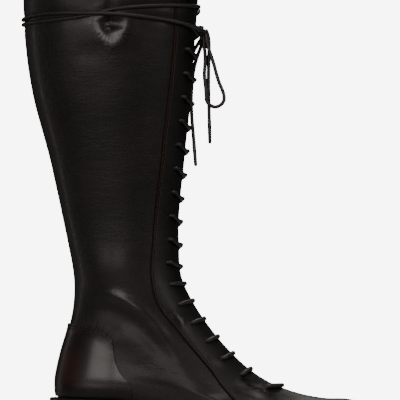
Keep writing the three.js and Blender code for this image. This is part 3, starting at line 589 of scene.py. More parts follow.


# Smooth fine-grained leather: pebbled grain, short cross wrinkles on the shaft, puckers and grooves beside
# seams, fine rays round the dent, tone and gloss that drift, and a highlight painted into the colour where the
# shine map is up
def leatherMaterial(name, look):
    material, wire, where, shader = newMaterial(name, {
        "IOR": 1.45, "Coat Weight": look["coat"], "Coat Roughness": 0.21, "Coat IOR": 1.45})
    x, y, z = [where.axis(k) for k in range(3)]
    drift = noise(where, 22.0, 3.0, 0.55)
    cells = wire.node("ShaderNodeTexVoronoi", {"feature": "SMOOTH_F1"},
                      {"Vector": where, "Scale": 1150.0, "Smoothness": 0.6}, "Distance")
    pores = noise(where, 2600.0, 2.0, 0.6)
    across = noise(stretched(where, (150.0, 150.0, 520.0)), 1.0, 3.0, 0.62)
    patches = noise(where, 30.0, 1.0, 0.5).between(0.42, 0.68)
    shaft = z.between(0.12, 0.17) * (1 - z.between(0.31, 0.36))
    broad = noise(stretched(where, (40.0, 40.0, 120.0)), 1.0, 2.0, 0.5)
    height = cells * (-look["grain"]) + pores * (look["grain"] * 0.7)
    height = height + across * (shaft * 0.88 + 0.12) * (patches * 0.7 + 0.3) * look["wrinkle"]
    height = height + broad * (look["wrinkle"] * 0.8)
    if "seams" in look:
        lay = layer(wire, "lay")
        u, v = lay.axis(0), lay.axis(1)
        for distance in look["seams"]:
            away = v.math("ABSOLUTE", v - distance)
            dimples = u.math("SINE", u * (2 * math.pi / stitch["pitch"])).between(0.2, 0.9)
            height = height - (1 - away.between(0.1, 0.75)) * stitch["groove"]
            height = height - (1 - away.between(0.1, 0.6)) * dimples * stitch["groove"]
        if "pucker" in look:
            folds = noise(stretched(lay, (0.62, 0.11, 1.0)), 1.0, 2.0, 0.5)
            height = height + folds * v.between(9.0, 0.5) * look["pucker"] * 2.0
    if "dent" in look:
        right, up = x - look["dent"][0], z - look["dent"][1]
        reach = wire.node("ShaderNodeCombineXYZ", None, {0: right, 2: up}, 0)
        away = wire.node("ShaderNodeVectorMath", {"operation": "LENGTH"}, {0: reach}, "Value")
        bearing = x.math("ARCTAN2", right, up)
        rays = x.math("SINE", bearing * 21.0 + pores * 2.0 + away * 300.0)
        ring = away.between(0.004, 0.008) * (1 - away.between(0.0105, 0.0165)) * (1 - y.between(-0.02, 0.0))
        height = height + rays * ring * z.between(look["dent"][1], look["dent"][1] - 0.008) * 0.0001
    wearAndHighlight = drift.between(0.35, 0.75) * 0.8
    gloss = drift * 0.14 + pores * 0.06 + (look["rough"] - 0.1)
    if "lowCoat" in look:
        low = z.between(0.056, 0.066) * (1 - z.between(0.078, 0.095))
        wearAndHighlight = wearAndHighlight * 0.25 + (1 - x.between(-0.016, 0.0)) * x.between(-0.028, -0.021) * low * 0.85
        glossy = x.between(-0.028, -0.004) * z.between(0.058, 0.07)
        feed(shader, "Coat Weight", glossy * (look["coat"] - look["lowCoat"]) + look["lowCoat"])
    if "shine" in look:
        polishAndHighlight = layer(wire, "shine").axis(0)
        # Painted highlight: the colour goes paler where the shine map is up, besides less roughness and more
        # coat
        wearAndHighlight = wearAndHighlight + polishAndHighlight * 0.5
        gloss = gloss - polishAndHighlight * 0.17
        feed(shader, "Coat Weight", polishAndHighlight * 0.5 + look["coat"])
    dress(shader, wearAndHighlight.blend(look["dark"], look["wornAndHighlight"]), gloss, height)
    return material


# Cut edge of leather. fade is its colour on the foot, where it is dyed.
def edgeMaterial(name, dark, light, fade=None):
    material, _, where, shader = newMaterial(name, {"IOR": 1.45})
    fibres = noise(stretched(where, (500.0, 500.0, 900.0)), 1.0, 3.0, 0.6)
    tone = fibres.between(0.3, 0.7).blend(dark, light)
    if fade:
        tone = where.axis(2).between(0.15, 0.1).blend(tone, fade)
    dress(shader, tone, fibres * 0.2 + 0.6, fibres * 0.00012)
    return material


# Round braid: two sets of strands across each other. The second argument paints shade on the lace: its colour
# darkens on the shaft.
def laceMaterial(name, paintedShade=0.0):
    material, wire, where, shader = newMaterial(name, {
        "IOR": 1.45, "Coat Weight": 0.35, "Coat Roughness": 0.3})
    lay = layer(wire, "lay")
    run, turn = lay.axis(0) * (2 * math.pi * 0.62), lay.axis(1) * (2 * math.pi * 4)
    strands = run.math("MAXIMUM", run.math("SINE", run + turn), run.math("SINE", run - turn))
    fuzz = noise(where, 1800.0, 3.0, 0.6)
    tone = strands.between(-0.4, 1.0).blend((0.007, 0.0062, 0.006), (0.024, 0.0212, 0.0198))
    # Painted shade: darker colour above about 0.13 to 0.2 m
    if paintedShade:
        tone = (where.axis(2).between(0.13, 0.2) * paintedShade).blend(tone, (0.003, 0.0028, 0.003))
    dress(shader, tone, fuzz * 0.16 + 0.32, strands * 0.00012 + fuzz * 0.00005)
    return material


def plainFinish(name, dark, light, rough, grain=0.00004, scale=900.0, coat=0.0):
    material, _, where, shader = newMaterial(name, {"IOR": 1.46, "Coat Weight": coat, "Coat Roughness": 0.25})
    fine = noise(where, scale, 3.0, 0.6)
    slow = noise(where, 35.0, 3.0, 0.6)
    dress(shader, slow.between(0.35, 0.7).blend(dark, light),
          slow * 0.15 + fine * 0.1 + (rough - 0.12), fine * grain)
    return material


# Stacked and pressed edge of sole and heel, with the layers' lines
def layeredFinish(name, dark, light, rough, layerHeight, coat):
    material, _, where, shader = newMaterial(name, {"IOR": 1.47, "Coat Weight": coat, "Coat Roughness": 0.2})
    z = where.axis(2)
    wobble = noise(where, 40.0, 2.0, 0.5)
    lines = z.math("SINE", z * (2 * math.pi / layerHeight) + wobble * 1.4).between(0.86, 1.0)
    fibres = noise(stretched(where, (160.0, 160.0, 1500.0)), 1.0, 3.0, 0.6)
    dress(shader, (fibres.between(0.3, 0.75) * (1 - lines)).blend(dark, light),
          fibres * 0.18 + (rough - 0.09), fibres * 0.00005 - lines * 0.00018)
    return material


# Rubber sole with fine ribs across it
def outsoleMaterial(name):
    material, wire, where, shader = newMaterial(name, {"IOR": 1.5})
    x, y = where.axis(0), where.axis(1)
    wave = x.math("SINE", y * 260.0) * 0.0012
    ribs = x.math("SINE", (x + wave) * (2 * math.pi / 0.0042)).between(-0.5, 0.4)
    down = wire.node("ShaderNodeNewGeometry", None, None, "Normal").axis(2).between(-0.6, -0.9)
    fine = noise(where, 900.0, 3.0, 0.6)
    dress(shader, fine.between(0.3, 0.7).blend((0.009, 0.0085, 0.008), (0.018, 0.017, 0.016)),
          fine * 0.15 + 0.55, ribs * down * 0.0006 + fine * 0.00005)
    return material


upperLeather = leatherMaterial("upperLeather", leather["upper"])
panelLeather = leatherMaterial("panelLeather", leather["panel"])
counterLeather = leatherMaterial("counterLeather", leather["counter"])
tongueLeather = leatherMaterial("tongueLeather", leather["tongue"])
insoleFinish = leatherMaterial("insoleFinish", leather["insole"])
rawEdge = edgeMaterial("rawEdge", (0.025, 0.0085, 0.0045), (0.07, 0.024, 0.011), (0.013, 0.007, 0.004))
darkEdge = edgeMaterial("darkEdge", (0.012, 0.008, 0.006), (0.03, 0.018, 0.012))
lining = edgeMaterial("lining", (0.05, 0.036, 0.026), (0.075, 0.055, 0.04))
laceFinish = laceMaterial("laceFinish")
# Copy of the lace finish with painted shade on the shaft, for the lace in the throat
throatLacePaintedShade = laceMaterial("throatLacePaintedShade", 0.9)
weltFinish = layeredFinish("weltFinish", (0.009, 0.007, 0.006), (0.02, 0.014, 0.01), 0.45, 0.0037, 0.15)
heelFinish = layeredFinish("heelFinish", (0.008, 0.0065, 0.006), (0.018, 0.013, 0.01), 0.4, 0.0058, 0.25)
outsoleFinish = outsoleMaterial("outsoleFinish")
threadFinish = plainFinish("threadFinish", (0.07, 0.036, 0.022), (0.13, 0.07, 0.042), 0.6)
darkThread = plainFinish("darkThread", (0.01, 0.009, 0.008), (0.02, 0.017, 0.015), 0.55)
liftFinish = plainFinish("liftFinish", (0.01, 0.01, 0.01), (0.018, 0.018, 0.018), 0.62, 0.00006, 700.0)
agletFinish = plainFinish("agletFinish", (0.008, 0.008, 0.008), (0.014, 0.013, 0.013), 0.28,
                          0.00001, 500.0, 0.4)
print("finishes ready")

# Cords: the lace's bow, on the routes of its solids

# Routes in millimetres: the near ones from the knot's middle, the far ones as share of a turn from the
# front, height from the knot and lift
bow = {
    "radius": 1.58, "throatRadius": 1.78, "knotHeight": 349.3, "knotLift": 7.7, "laceLift": 2.1,
    "nearLoop": [
        (0.2, -3.4, -1.4), (0.9, -5, -4.8), (1.9, -5.2, -10), (6.5, -6, -23.8), (10.6, -7, -38.5),
        (14.2, -7.7, -47.5), (15.4, -8, -51.5), (15.2, -8.5, -55.9), (12.4, -9.1, -59.5), (8.2, -9.6, -60.9),
        (4, -10, -59.5), (1.3, -10.2, -55.9), (0.9, -10, -51.9), (0.4, -9, -45), (-0.6, -7, -35),
        (0, -4, -20.5), (-0.8, -1.9, -10), (-0.9, -1.6, -4.8), (-0.8, -1.2, -1.6)],
    "nearTail": [
        (0.4, 0.8, 2.6), (1.6, 1.1, 0.4), (2.6, 1.4, -3), (3.2, 1.5, -8), (3.0, 1.3, -20.5),
        (2.7, 1, -36.5), (3.0, 0.5, -57.4), (3.4, 0, -72.8)],
    "farLoop": [
        (-0.029, 0.4, 4.9), (-0.056, -2.5, 5.1), (-0.088, -9, 4.9), (-0.115, -20, 4.9),
        (-0.131, -34, 4.8), (-0.1355, -44, 4.8), (-0.1357, -51, 4.8), (-0.1329, -54.6, 4.8),
        (-0.1254, -57.2, 4.8), (-0.115, -58.2, 4.8), (-0.1047, -57.2, 4.8), (-0.0971, -54.6, 4.8),
        (-0.0943, -51, 4.8), (-0.093, -40, 4.8), (-0.085, -26, 4.8), (-0.068, -15, 4.8),
        (-0.044, -7, 4.8), (-0.03, -3.6, 4.8)],
    "farTail": [
        (-0.012, -5.6, 4.4), (-0.026, -10, 4.6), (-0.048, -18, 4.8), (-0.062, -28, 4.8),
        (-0.068, -40, 4.8), (-0.067, -54, 4.8), (-0.060, -68, 5.2), (-0.052, -80, 6.2), (-0.047, -91, 7.6)],
}


def shaftPoint(height, around, lift):
    return skin(climbAtFront(height), np.asarray(around) * 2 * math.pi, lift)


# A smooth curve through points, with the same bends as the solids' routes
def curveThrough(points, count):
    points = np.asarray(points, float)
    full = np.vstack([2 * points[0] - points[1], points, 2 * points[-1] - points[-2]])
    dense = []
    for i in range(1, len(full) - 2):
        p0, p1, p2, p3 = full[i - 1:i + 3]
        d0, d1, d2 = [max(np.linalg.norm(b - a) ** 0.5, 1e-4) for a, b in ((p0, p1), (p1, p2), (p2, p3))]
        t1 = ((p1 - p0) / d0 - (p2 - p0) / (d0 + d1) + (p2 - p1) / d1) * d1
        t2 = ((p2 - p1) / d1 - (p3 - p1) / (d1 + d2) + (p3 - p2) / d2) * d1
        for t in np.linspace(0, 1, 24, endpoint=False):
            dense.append(p1 * (2 * t ** 3 - 3 * t ** 2 + 1) + t1 * (t ** 3 - 2 * t ** 2 + t)
                         + p2 * (3 * t ** 2 - 2 * t ** 3) + t2 * (t ** 3 - t ** 2))
    dense = np.array(dense + [points[-1]])
    run = runAlong(dense)
    at = np.linspace(0, run[-1], count)
    return np.stack([np.interp(at, run, dense[:, k]) for k in range(3)], axis=1), run[-1]


# A round lace along points, with a map of its length and turn for the braid
def laceTube(name, path, radius, sides=12, radii=None):
    path = np.asarray(path, float)
    count = len(path)
    tangent = unit(np.gradient(path, axis=0))
    start = np.array([0.0, 0.0, 1.0]) if abs(tangent[0][2]) < 0.9 else np.array([1.0, 0.0, 0.0])
    across = unit(np.cross(tangent[0], start))
    run = runAlong(path)
    vertices, uv = [], []
    for i in range(count):
        across = unit(across - tangent[i] * (across @ tangent[i]))
        up = np.cross(tangent[i], across)
        thick = radius if radii is None else radii[i]
        for k in range(sides + 1):
            turn = 2 * math.pi * k / sides
            vertices.append(path[i] + thick * (math.cos(turn) * across + math.sin(turn) * up))
            uv.append((run[i], k / sides))
    faces = []
    wide = sides + 1
    for i in range(count - 1):
        for k in range(sides):
            faces.append((i * wide + k, i * wide + k + 1, (i + 1) * wide + k + 1, (i + 1) * wide + k))
    first, last = len(vertices), len(vertices) + 1
    vertices += [path[0], path[-1]]
    uv += [(0, 0), (run[-1], 0)]
    for k in range(sides):
        faces.append((first, k + 1, k))
        faces.append((last, (count - 1) * wide + k, (count - 1) * wide + k + 1))
    obj = plainObject(name, vertices, faces, uv)
    weld(obj)
    return smooth(paint(obj, laceFinish), 60)


knotMiddle = shaftPoint(bow["knotHeight"], 0.0, bow["knotLift"])
fromKnot = lambda rows: [knotMiddle + np.array(row) for row in rows]
alongShaft = lambda rows: [shaftPoint(bow["knotHeight"] + h, a, bow["laceLift"] + l) for a, h, l in rows]
routes = {
    "laceLoopNear": fromKnot(bow["nearLoop"]),
    "laceTailNear": fromKnot(bow["nearTail"]),
    "laceLoopFar": alongShaft(bow["farLoop"]),
    "laceTailFar": alongShaft(bow["farTail"]),
}


# The tag on a lace's end: a tight sleeve with a rounded tip
def makeTag(name, route):
    end = np.array(route[-1])
    way = unit(end - np.array(route[-2]))
    stations = [(-1.2, 1.56), (-0.9, 1.66), (0.2, 1.7), (16.2, 1.5), (17.4, 1.35), (18.0, 0.95), (18.28, 0.35)]
    path = [end + way * along for along, _ in stations]
    return paint(laceTube(name, path, 1.0, 14, [thick for _, thick in stations]), agletFinish)


knotForm = {"wide": 1.35, "tall": 0.85, "deep": 1.3, "back": 2.0, "radius": 1.55}


# The knot: one closed turn of lace, pulled tight
def makeKnot():
    t = np.linspace(0, 2 * math.pi, 90)
    y = (np.sin(t) + 2 * np.sin(2 * t)) * knotForm["wide"]
    z = (np.cos(t) - 2 * np.cos(2 * t)) * knotForm["tall"]
    x = -np.sin(3 * t) * knotForm["deep"] - knotForm["back"]
    return laceTube("laceKnot", np.stack([x, y, z], axis=1) + knotMiddle, knotForm["radius"])


knot = makeKnot()
finishPiece(knot, "lace", "lace_knot")
tagNear = finishPiece(makeTag("agletNear", routes["laceTailNear"]), "aglet", "aglet_near")
tagFar = finishPiece(makeTag("agletFar", routes["laceTailFar"]), "aglet", "aglet_far")
endings = {
    "laceLoopNear": ("lace_loop_near", "object", []),
    "laceLoopFar": ("lace_loop_far", "object", []),
    "laceTailNear": ("lace_tail_near", "fitting", [tagNear, knot]),
    "laceTailFar": ("lace_tail_far", "fitting", [tagFar]),
}
for name, (node, farEnd, others) in endings.items():
    path, length = curveThrough(routes[name], 90)
    piece = laceTube(name, path, bow["radius"])
    finishPiece(piece, "lace", node)
    print(name, "length in mm", round(length, 1))

# The lace through the eyelets: share of the way to a hole, share of a row and lift off the skin. Pairs
# are values on the foot and on the shaft; crossLift has them for the upper and the lower lace.

lacing = {
    "dive": [(0.97, 0.0, 2.1), (1.03, 0.0, 0.2), (1.01, 0.02, -2.4), (0.88, 0.1, -4.7)],
    "under": [(0.62, 0.5, -5.0), (0.34, 0.8, -4.9)],
    "over": [(-0.3, 0.1, 1.6), (-0.6, 0.38, 2.2), (-0.85, 0.74, 2.3)],
    "below": (3.6, 6.0), "beside": (0.5, 1.4), "crossLift": ((-0.1, 1.6), (-2.9, -0.9)), "bendRows": (5, 8),
}


# A value that goes from the foot's to the shaft's over the rows at the bend
def byRow(row, foot, shaft):
    return mix(foot, shaft, float(smoothStep(*lacing["bendRows"], row)))


def rowClimb(row):
    row = min(max(row, 0), boot["rows"] - 1.001)
    low = int(row)
    return mix(rowClimbs[low], rowClimbs[low + 1], row - low)


# Climb at which the lace crosses the throat on its way to the holes of a row, a little below them
# as measured square to the front of the boot
def crossClimb(row):
    climb = rowClimb(row)
    gap = byRow(row, *lacing["below"])
    holes = (skinPoint(climb, holeAround(climb)) + skinPoint(climb, -holeAround(climb))) / 2
    upward = lambda c: unit(skinPoint(c + 1, 0.0) - skinPoint(c - 1, 0.0))
    test = lambda c: np.sum((skinPoint(c, 0.0) - holes) * upward(c)) > -gap
    return float(solve(test, np.array(climb - 30.0), np.array(min(climb + 30.0, climbs[-1]))))


def throatPoint(side, share, climb, lift):
    return skin(climb, -side * share * holeAround(climb), lift)


# One strand from the lowest row's hole on a side up to the last laced row and under the facing. The
# strands take turns at the crossings by their order.
def makeStrand(side, order):
    points = []
    last = boot["lacedRows"] - 1
    for row in range(last + 1):
        here, crossing = rowClimb(row), crossClimb(row + 1)
        for share, rise, lift in lacing["dive"] + lacing["under"]:
            points.append(throatPoint(side, share, mix(here, crossing, rise), lift))
        if row == last:
            break
        below = (row + order) % 2
        beside = byRow(row, *lacing["beside"]) * (-1 if below else 1)
        points.append(throatPoint(side, 0, crossing + beside, byRow(row, *lacing["crossLift"][below])))
        for share, rise, lift in lacing["over"]:
            points.append(throatPoint(side, share, mix(crossing, rowClimb(row + 1), rise), lift))
        side = -side
    return points


strandOne, strandTwo = makeStrand(1, 0), makeStrand(-1, 1)
bar = [throatPoint(1, share, rowClimb(0), 2.1) for share in (0.8, 0.4, 0.0, -0.4, -0.8)]
wholeLace = strandOne[::-1] + bar + strandTwo
lacePath, laceLength = curveThrough(wholeLace, 1500)

# The ends wound round the shaft: share of a full turn from the front by the outer side, height from
# the knot and lift off the panel or the shaft

wound = {
    "outer": {
        "around": [-0.016, -0.006, 0.008, 0.026, 0.055, 0.09, 0.125, 0.16, 0.25, 0.3, 0.35, 0.425, 0.5,
                   0.6, 0.75, 0.84, 0.875, 0.91, 0.945, 0.973],
        "height": [14.6, 16.8, 19.5, 20.8, 21.1, 21.3, 21.4, 21, 17.2, 11.9, 9.4, 7.2, 5.2,
                   5.1, 5, 4.9, 4.8, 4.7, 4.5, 4.3],
        "lift": [-4.6, -2.4, 0, 2, 2, 1.9, 1.3, 0.5, 0.3, 0.3, 0.3, 0.3, 0.3,
                 0.3, 0.3, 0.9, 2.6, 4.6, 5.6, 6.4],
    },
    "inner": {
        "around": [0.02, 0.055, 0.09, 0.125, 0.17, 0.25, 0.29, 0.33, 0.375, 0.425, 0.5, 0.6, 0.75, 0.84,
                   0.875, 0.91, 0.945, 0.97, 0.988, 1.004, 1.014],
        "height": [1.2, 3.4, 6, 8.5, 11.0, 14.2, 14.5, 14.7, 14.4, 12.5, 9.3, 12.6, 17.7, 20.1,
                   21, 21.4, 20.6, 18.6, 16.2, 13.6, 11.6],
        "lift": [6.4, 5.2, 4.4, 2.4, 1.1, 2.2, 3.2, 2.4, 0.5, 0.3, 0.3, 0.3, 0.3, 0.5,
                 1.3, 1.9, 2.0, 2.0, 1.0, -1.8, -4.4],
    },
}


def woundPath(rows):
    at = np.linspace(rows["around"][0], rows["around"][-1], 260)
    height = through(rows["around"], rows["height"], at) + bow["knotHeight"]
    lift = through(rows["around"], rows["lift"], at)
    return shaftPoint(height, at, lift)


def joinPieces(name, parts):
    bm = bmesh.new()
    for part in parts:
        bm.from_mesh(part.data)
    mesh = bpy.data.meshes.new(name)
    bm.to_mesh(mesh)
    bm.free()
    mesh.materials.append(parts[0].data.materials[0])
    for part in parts:
        old = part.data
        bpy.data.objects.remove(part)
        bpy.data.meshes.remove(old)
    return place(bpy.data.objects.new(name, mesh))


laceThroat = laceTube("laceThroat", lacePath, bow["throatRadius"], 10)
# The throat lace gets the copy with painted shade
laceThroat.data.materials[0] = throatLacePaintedShade
finishPiece(laceThroat, "lace", "lace_crossings")
windings = [laceTube("winding", curveThrough(woundPath(rows), 300)[0], bow["radius"], 10)
            for rows in wound.values()]
laceWound = joinPieces("laceWound", windings)
finishPiece(laceWound, "lace", "lace_wrap")
print("lace ready, throat length in mm", round(laceLength))

# Edge of the heel counter

counter = {"height": 61.5, "front": 33, "foot": 1.4,
           "places": [0, 0.2, 0.36, 0.53, 0.66, 0.78, 0.86, 0.92, 0.97, 1],
           "heights": [1, 0.99, 0.97, 0.93, 0.86, 0.75, 0.63, 0.46, 0.22, 0]}


def counterEdge(x):
    share = (x + boot["setback"]) / (counter["front"] + boot["setback"])
    return featherHeight(x) + counter["height"] * through(counter["places"], counter["heights"], share)


def counterTop(around):
    test = lambda c: skinPoint(c, around)[..., 2] > counterEdge(skinPoint(c, around)[..., 0])
    return solve(test, np.full(around.shape, counter["foot"] + 0.6), np.full(around.shape, 130.0))


def aroundAtX(x, side):
    test = lambda a: skinPoint(2.0, side * a)[..., 0] < x
    return float(solve(test, np.array(0.2), np.array(math.pi)))


counterEnds = [aroundAtX(counter["front"] - 1, side) for side in (1, -1)]
counterAround = np.linspace(counterEnds[0], 2 * math.pi - counterEnds[1], 120)[::-1]
tops = counterTop(counterAround)
counterRim = skin(tops, counterAround, lifts["panel"])

# Upper: the leather between throat and back, with its creases

fineness = {"upperRows": (44, 172), "panelRows": (40, 190), "upperColumns": 74, "panelColumns": 26,
            "counterRows": 70}
press = {"depth": 0.9, "width": 4.0, "reach": 12}


# The wound lace presses a shallow groove into the leather
def pressLift(points):
    lift = np.zeros(points.shape[:-1])
    for rows in wound.values():
        path = woundPath(rows)[::4]
        for spot in path[:-1]:
            near = np.abs(points[..., 2] - spot[2]) < press["reach"]
            if not near.any():
                continue
            distance = np.linalg.norm(points[near] - spot, axis=-1)
            lift[near] = np.minimum(lift[near], -press["depth"] * np.exp(-((distance / press["width"]) ** 2)))
    return lift


def bootGrid(climb, around, lift):
    points = skin(climb, around, lift)
    normal = skinNormal(climb, around)
    extra = creaseLift(points) + pressLift(points)
    return points + normal * extra[..., None]


# Rows from a climb up to the throat's foot and on to the collar
def rowsFrom(start, below, above):
    return np.concatenate([np.linspace(start, throatClimb - 0.01, below),
                           np.linspace(throatClimb, collar, above)])


rows = rowsFrom(0, *fineness["upperRows"])
shares = np.linspace(0, 1, fineness["upperColumns"])
outerSide = mix(throatAround(rows)[:, None], math.pi, shares[None, :])
seamless = np.concatenate([outerSide, 2 * math.pi - outerSide[:, ::-1][:, 1:]], axis=1)[:, ::-1]
fromFront = np.minimum(seamless, 2 * math.pi - seamless)
behind = smoothStep(0.25, 0.9, fromFront - facingAround(rows)[:, None]) * smoothStep(115, 150, rows)[:, None]
upperPoints = bootGrid(rows[:, None], seamless, lifts["upper"] + lifts["fullBack"] * behind)
upper = leatherSheet("upperShell", upperPoints, lifts["upperWall"], [upperLeather, lining, darkEdge],
                     edgeMap(upperPoints, counterRim), creaseShine(upperPoints))

# Front panel: vamp and both facings in one sheet

panelRows = rowsFrom(counter["foot"], *fineness["panelRows"])
panelShares = np.linspace(0, 1, fineness["panelColumns"])
panelOuter = mix(throatAround(panelRows)[:, None], facingAround(panelRows)[:, None], panelShares[None, :])
panelParts = [bootGrid(panelRows[:, None], around, lifts["panel"])
              for around in (panelOuter[:, ::-1], -panelOuter)]
panelPoints = np.concatenate(panelParts)
oneSide = gridFaces(*panelOuter.shape)
faces = oneSide + [tuple(i + panelOuter.size for i in face) for face in oneSide]
panelMap = np.concatenate([edgeMap(part, part[:, -k]) for k, part in enumerate(panelParts)])
panel = leatherSheet("frontPanel", panelPoints, lifts["panelWall"], [panelLeather, darkEdge, rawEdge],
                     panelMap, creaseShine(panelPoints), faces)

punchSize = {"low": -8.0, "high": 4.0, "radius": 1.95}


# Round punches for the lace holes
def makePunches():
    parts = []
    for climb in rowClimbs:
        for side in (1, -1):
            ends = [skin(climb, side * holeAround(climb), punchSize[end]) for end in ("low", "high")]
            parts.append(laceTube("punch", ends, punchSize["radius"], 16))
    return paint(joinPieces("punches", parts), darkEdge)


punches = makePunches()
for obj in (panel, upper):
    cut = obj.modifiers.new("holes", "BOOLEAN")
    cut.operation = "DIFFERENCE"
    cut.solver = "EXACT"
    cut.object = punches
for piece in (panel, upper):
    applyModifiers(piece)
    smooth(piece, 38)
bpy.data.objects.remove(punches)
finishPiece(upper, "upper_leather", "upper")
finishPiece(panel, "panel_leather", "front_panel")
print("upper and panel ready", len(upper.data.polygons), len(panel.data.polygons))

# Heel counter under its curved edge

counterClimb = mix(counter["foot"], tops[None, :], np.linspace(0, 1, fineness["counterRows"])[:, None])
counterPoints = bootGrid(counterClimb, np.broadcast_to(counterAround, counterClimb.shape), lifts["panel"])
heelCounter = leatherSheet("heelCounter", counterPoints, lifts["panelWall"], [counterLeather, darkEdge],
                           edgeMap(counterPoints, counterRim))
applyModifiers(heelCounter)
smooth(heelCounter, 38)
finishPiece(heelCounter, "counter_leather", "heel_counter")

# Tongue

tongue = {"reach": 27, "lowShare": 0.62, "above": 6, "under": 14, "fade": 8}
tongueFoot = throatClimb - tongue["under"]
tongueTop = float(climbAtFront(float(column("frontZ", collar)) + tongue["above"]))
tongueRows = np.linspace(tongueFoot, tongueTop, 150)
opening = smoothStep(tongueFoot - tongue["fade"], rowClimbs[6], tongueRows)
tongueHalf = aroundAtReach(tongueRows, tongue["reach"] * mix(tongue["lowShare"], 1, opening))
drop = mix(lifts["tongueFoot"], lifts["tongue"], smoothStep(tongueFoot, tongueFoot + 22, tongueRows))
tonguePoints = skin(tongueRows[:, None], tongueHalf[:, None] * np.linspace(1, -1, 40)[None, :], drop[:, None])
tonguePiece = leatherSheet("tongueSheet", tonguePoints, lifts["tongueWall"], [tongueLeather, lining, darkEdge])
applyModifiers(tonguePiece)
smooth(tonguePiece, 50)
finishPiece(tonguePiece, "tongue_leather", "tongue")
print("counter and tongue ready")

# Sole: welt, outsole, heel block and top piece

# The welt's flange at its widest and narrowest, the heel, and how far in the welt's seam runs
sole = {"wide": 5.2, "narrow": 3.4, "breast": 33, "hollow": 4, "taper": 2, "lift": 6, "heelInset": 0.8,
        "weltSeam": 2.6}


def soleEdge(turn, grow):
    point = skinPoint(0.0, turn)
    along = skinPoint(0.0, turn + 0.01) - skinPoint(0.0, turn - 0.01)
    along = unit(along[..., :2])
    return np.stack([point[..., 0] - grow * along[..., 1], point[..., 1] + grow * along[..., 0]], axis=-1)


def flange(turn):
    along = (1 - np.cos(turn)) / 2
    waist = smoothStep(0.38, 0.55, along) * (1 - smoothStep(0.68, 0.82, along))
    return mix(sole["wide"], sole["narrow"], waist)


# Closes a tube of rings with caps, made from the mesh and a ring of its points
def closeTube(name, points, faces, addCap, material, angle):
    rings, cols = points.shape[:2]
    obj = plainObject(name, points.reshape(-1, 3), faces)
    bm = bmesh.new()
    bm.from_mesh(obj.data)
    bm.verts.ensure_lookup_table()
    for ring in (0, rings - 1):
        addCap(bm, [bm.verts[ring * cols + k] for k in range(cols)])
    bmesh.ops.triangulate(bm, faces=[f for f in bm.faces if len(f.verts) > 4])
    bmesh.ops.recalc_face_normals(bm, faces=bm.faces)
    bm.to_mesh(obj.data)
    bm.free()
    return smooth(paint(obj, material), angle)


# A cap in strips across a long ring
def stripCap(bm, ring):
    for k in range(len(ring) // 2):
        corners = list(dict.fromkeys((ring[k], ring[k + 1], ring[-k - 2], ring[-k - 1])))
        if len(corners) > 2 and bm.faces.get(corners) is None:
            bm.faces.new(corners)


# A plate round the sole's outline. profile gives growth beyond the outline and height off its top.
def solePlate(name, profile, offset, material):
    turn = np.linspace(0, 2 * math.pi, 260, endpoint=False)
    loops = []
    for grow, drop in profile:
        edge = soleEdge(turn, flange(turn) - offset + grow)
        loops.append(np.column_stack([edge, featherHeight(edge[:, 0]) + drop]))
    faces = [tuple(reversed(face)) for face in gridFaces(len(profile), len(turn), True)]
    return closeTube(name, np.array(loops), faces, stripCap, material, 42)


top, low = -boot["gap"], -boot["gap"] - boot["weltThick"]
weltProfile = [(-9, top), (-4.5, top), (-3.2, top - 0.05), (-2.6, top - 0.55), (-2.0, top - 0.05), (-1.1, top),
               (-0.5, top - 0.25), (-0.12, top - 0.75), (0, top - 1.4), (0, low + 1.0), (-0.2, low + 0.35),
               (-0.7, low), (-9, low)]
finishPiece(solePlate("weltStrip", weltProfile, 0.0, weltFinish), "welt", "welt")
top = low - boot["gap"]
low = top - boot["outsoleThick"]
soleProfile = [(-9, top), (-0.9, top), (-0.3, top - 0.3), (0, top - 1.0), (0, low + 1.3),
               (-0.35, low + 0.45), (-1.2, low), (-9, low)]
finishPiece(solePlate("outsoleSlab", soleProfile, 0.5, outsoleFinish), "outsole", "outsole")


# Outline of the heel at a taper, breast included
def heelOutline(taper):
    grow = lambda turn: flange(turn) - sole["heelInset"] - taper
    ends = []
    for side in (1, -1):
        test = lambda a, s=side: soleEdge(np.asarray(s * a), grow(s * a))[..., 0] < sole["breast"] - taper
        ends.append(float(solve(test, np.array(0.1), np.array(math.pi))))
    turn = np.linspace(ends[0], 2 * math.pi - ends[1], 90)
    edge = soleEdge(turn, grow(turn))
    t = np.linspace(0, 1, 26)[1:-1]
    breast = mix(edge[-1], edge[0], t[:, None])
    breast[:, 0] -= sole["hollow"] * np.sin(math.pi * t)
    return np.vstack([edge, breast])


seatBottom = lambda x: featherHeight(x) - boot["weltThick"] - boot["outsoleThick"] - 3 * boot["gap"]


def heelMesh(name, levels, material):
    loops = []
    for taper, height in levels:
        outline = heelOutline(taper)
        loops.append(np.column_stack([outline, height(outline[:, 0])]))
    points = np.array(loops)
    faces = gridFaces(*points.shape[:2], True)
    return closeTube(name, points, faces, lambda bm, ring: bm.faces.new(ring), material, 35)


def level(share, extra=0.0):
    foot = sole["lift"] + boot["gap"]
    taper = sole["taper"] * share + extra
    return taper, (lambda x, s=share: mix(seatBottom(x), foot, s))


blockLevels = [level(0.0, 0.5), level(0.02, 0.12)] + [level(s) for s in np.linspace(0.04, 0.96, 14)]
blockLevels += [level(0.985, 0.1), level(1.0, 0.45)]
finishPiece(heelMesh("heelBlock", blockLevels, heelFinish), "heel_block", "heel_block")
liftLevels = [(taper, lambda x, z=z: x * 0 + z)
              for taper, z in ((1.9, 6.0), (1.5, 5.7), (1.6, 3.0), (1.85, 0.6), (2.4, 0.0))]
finishPiece(heelMesh("heelLift", liftLevels, liftFinish), "heel_lift", "heel_lift")
print("sole ready")

# Stitches along a line, by geometry nodes


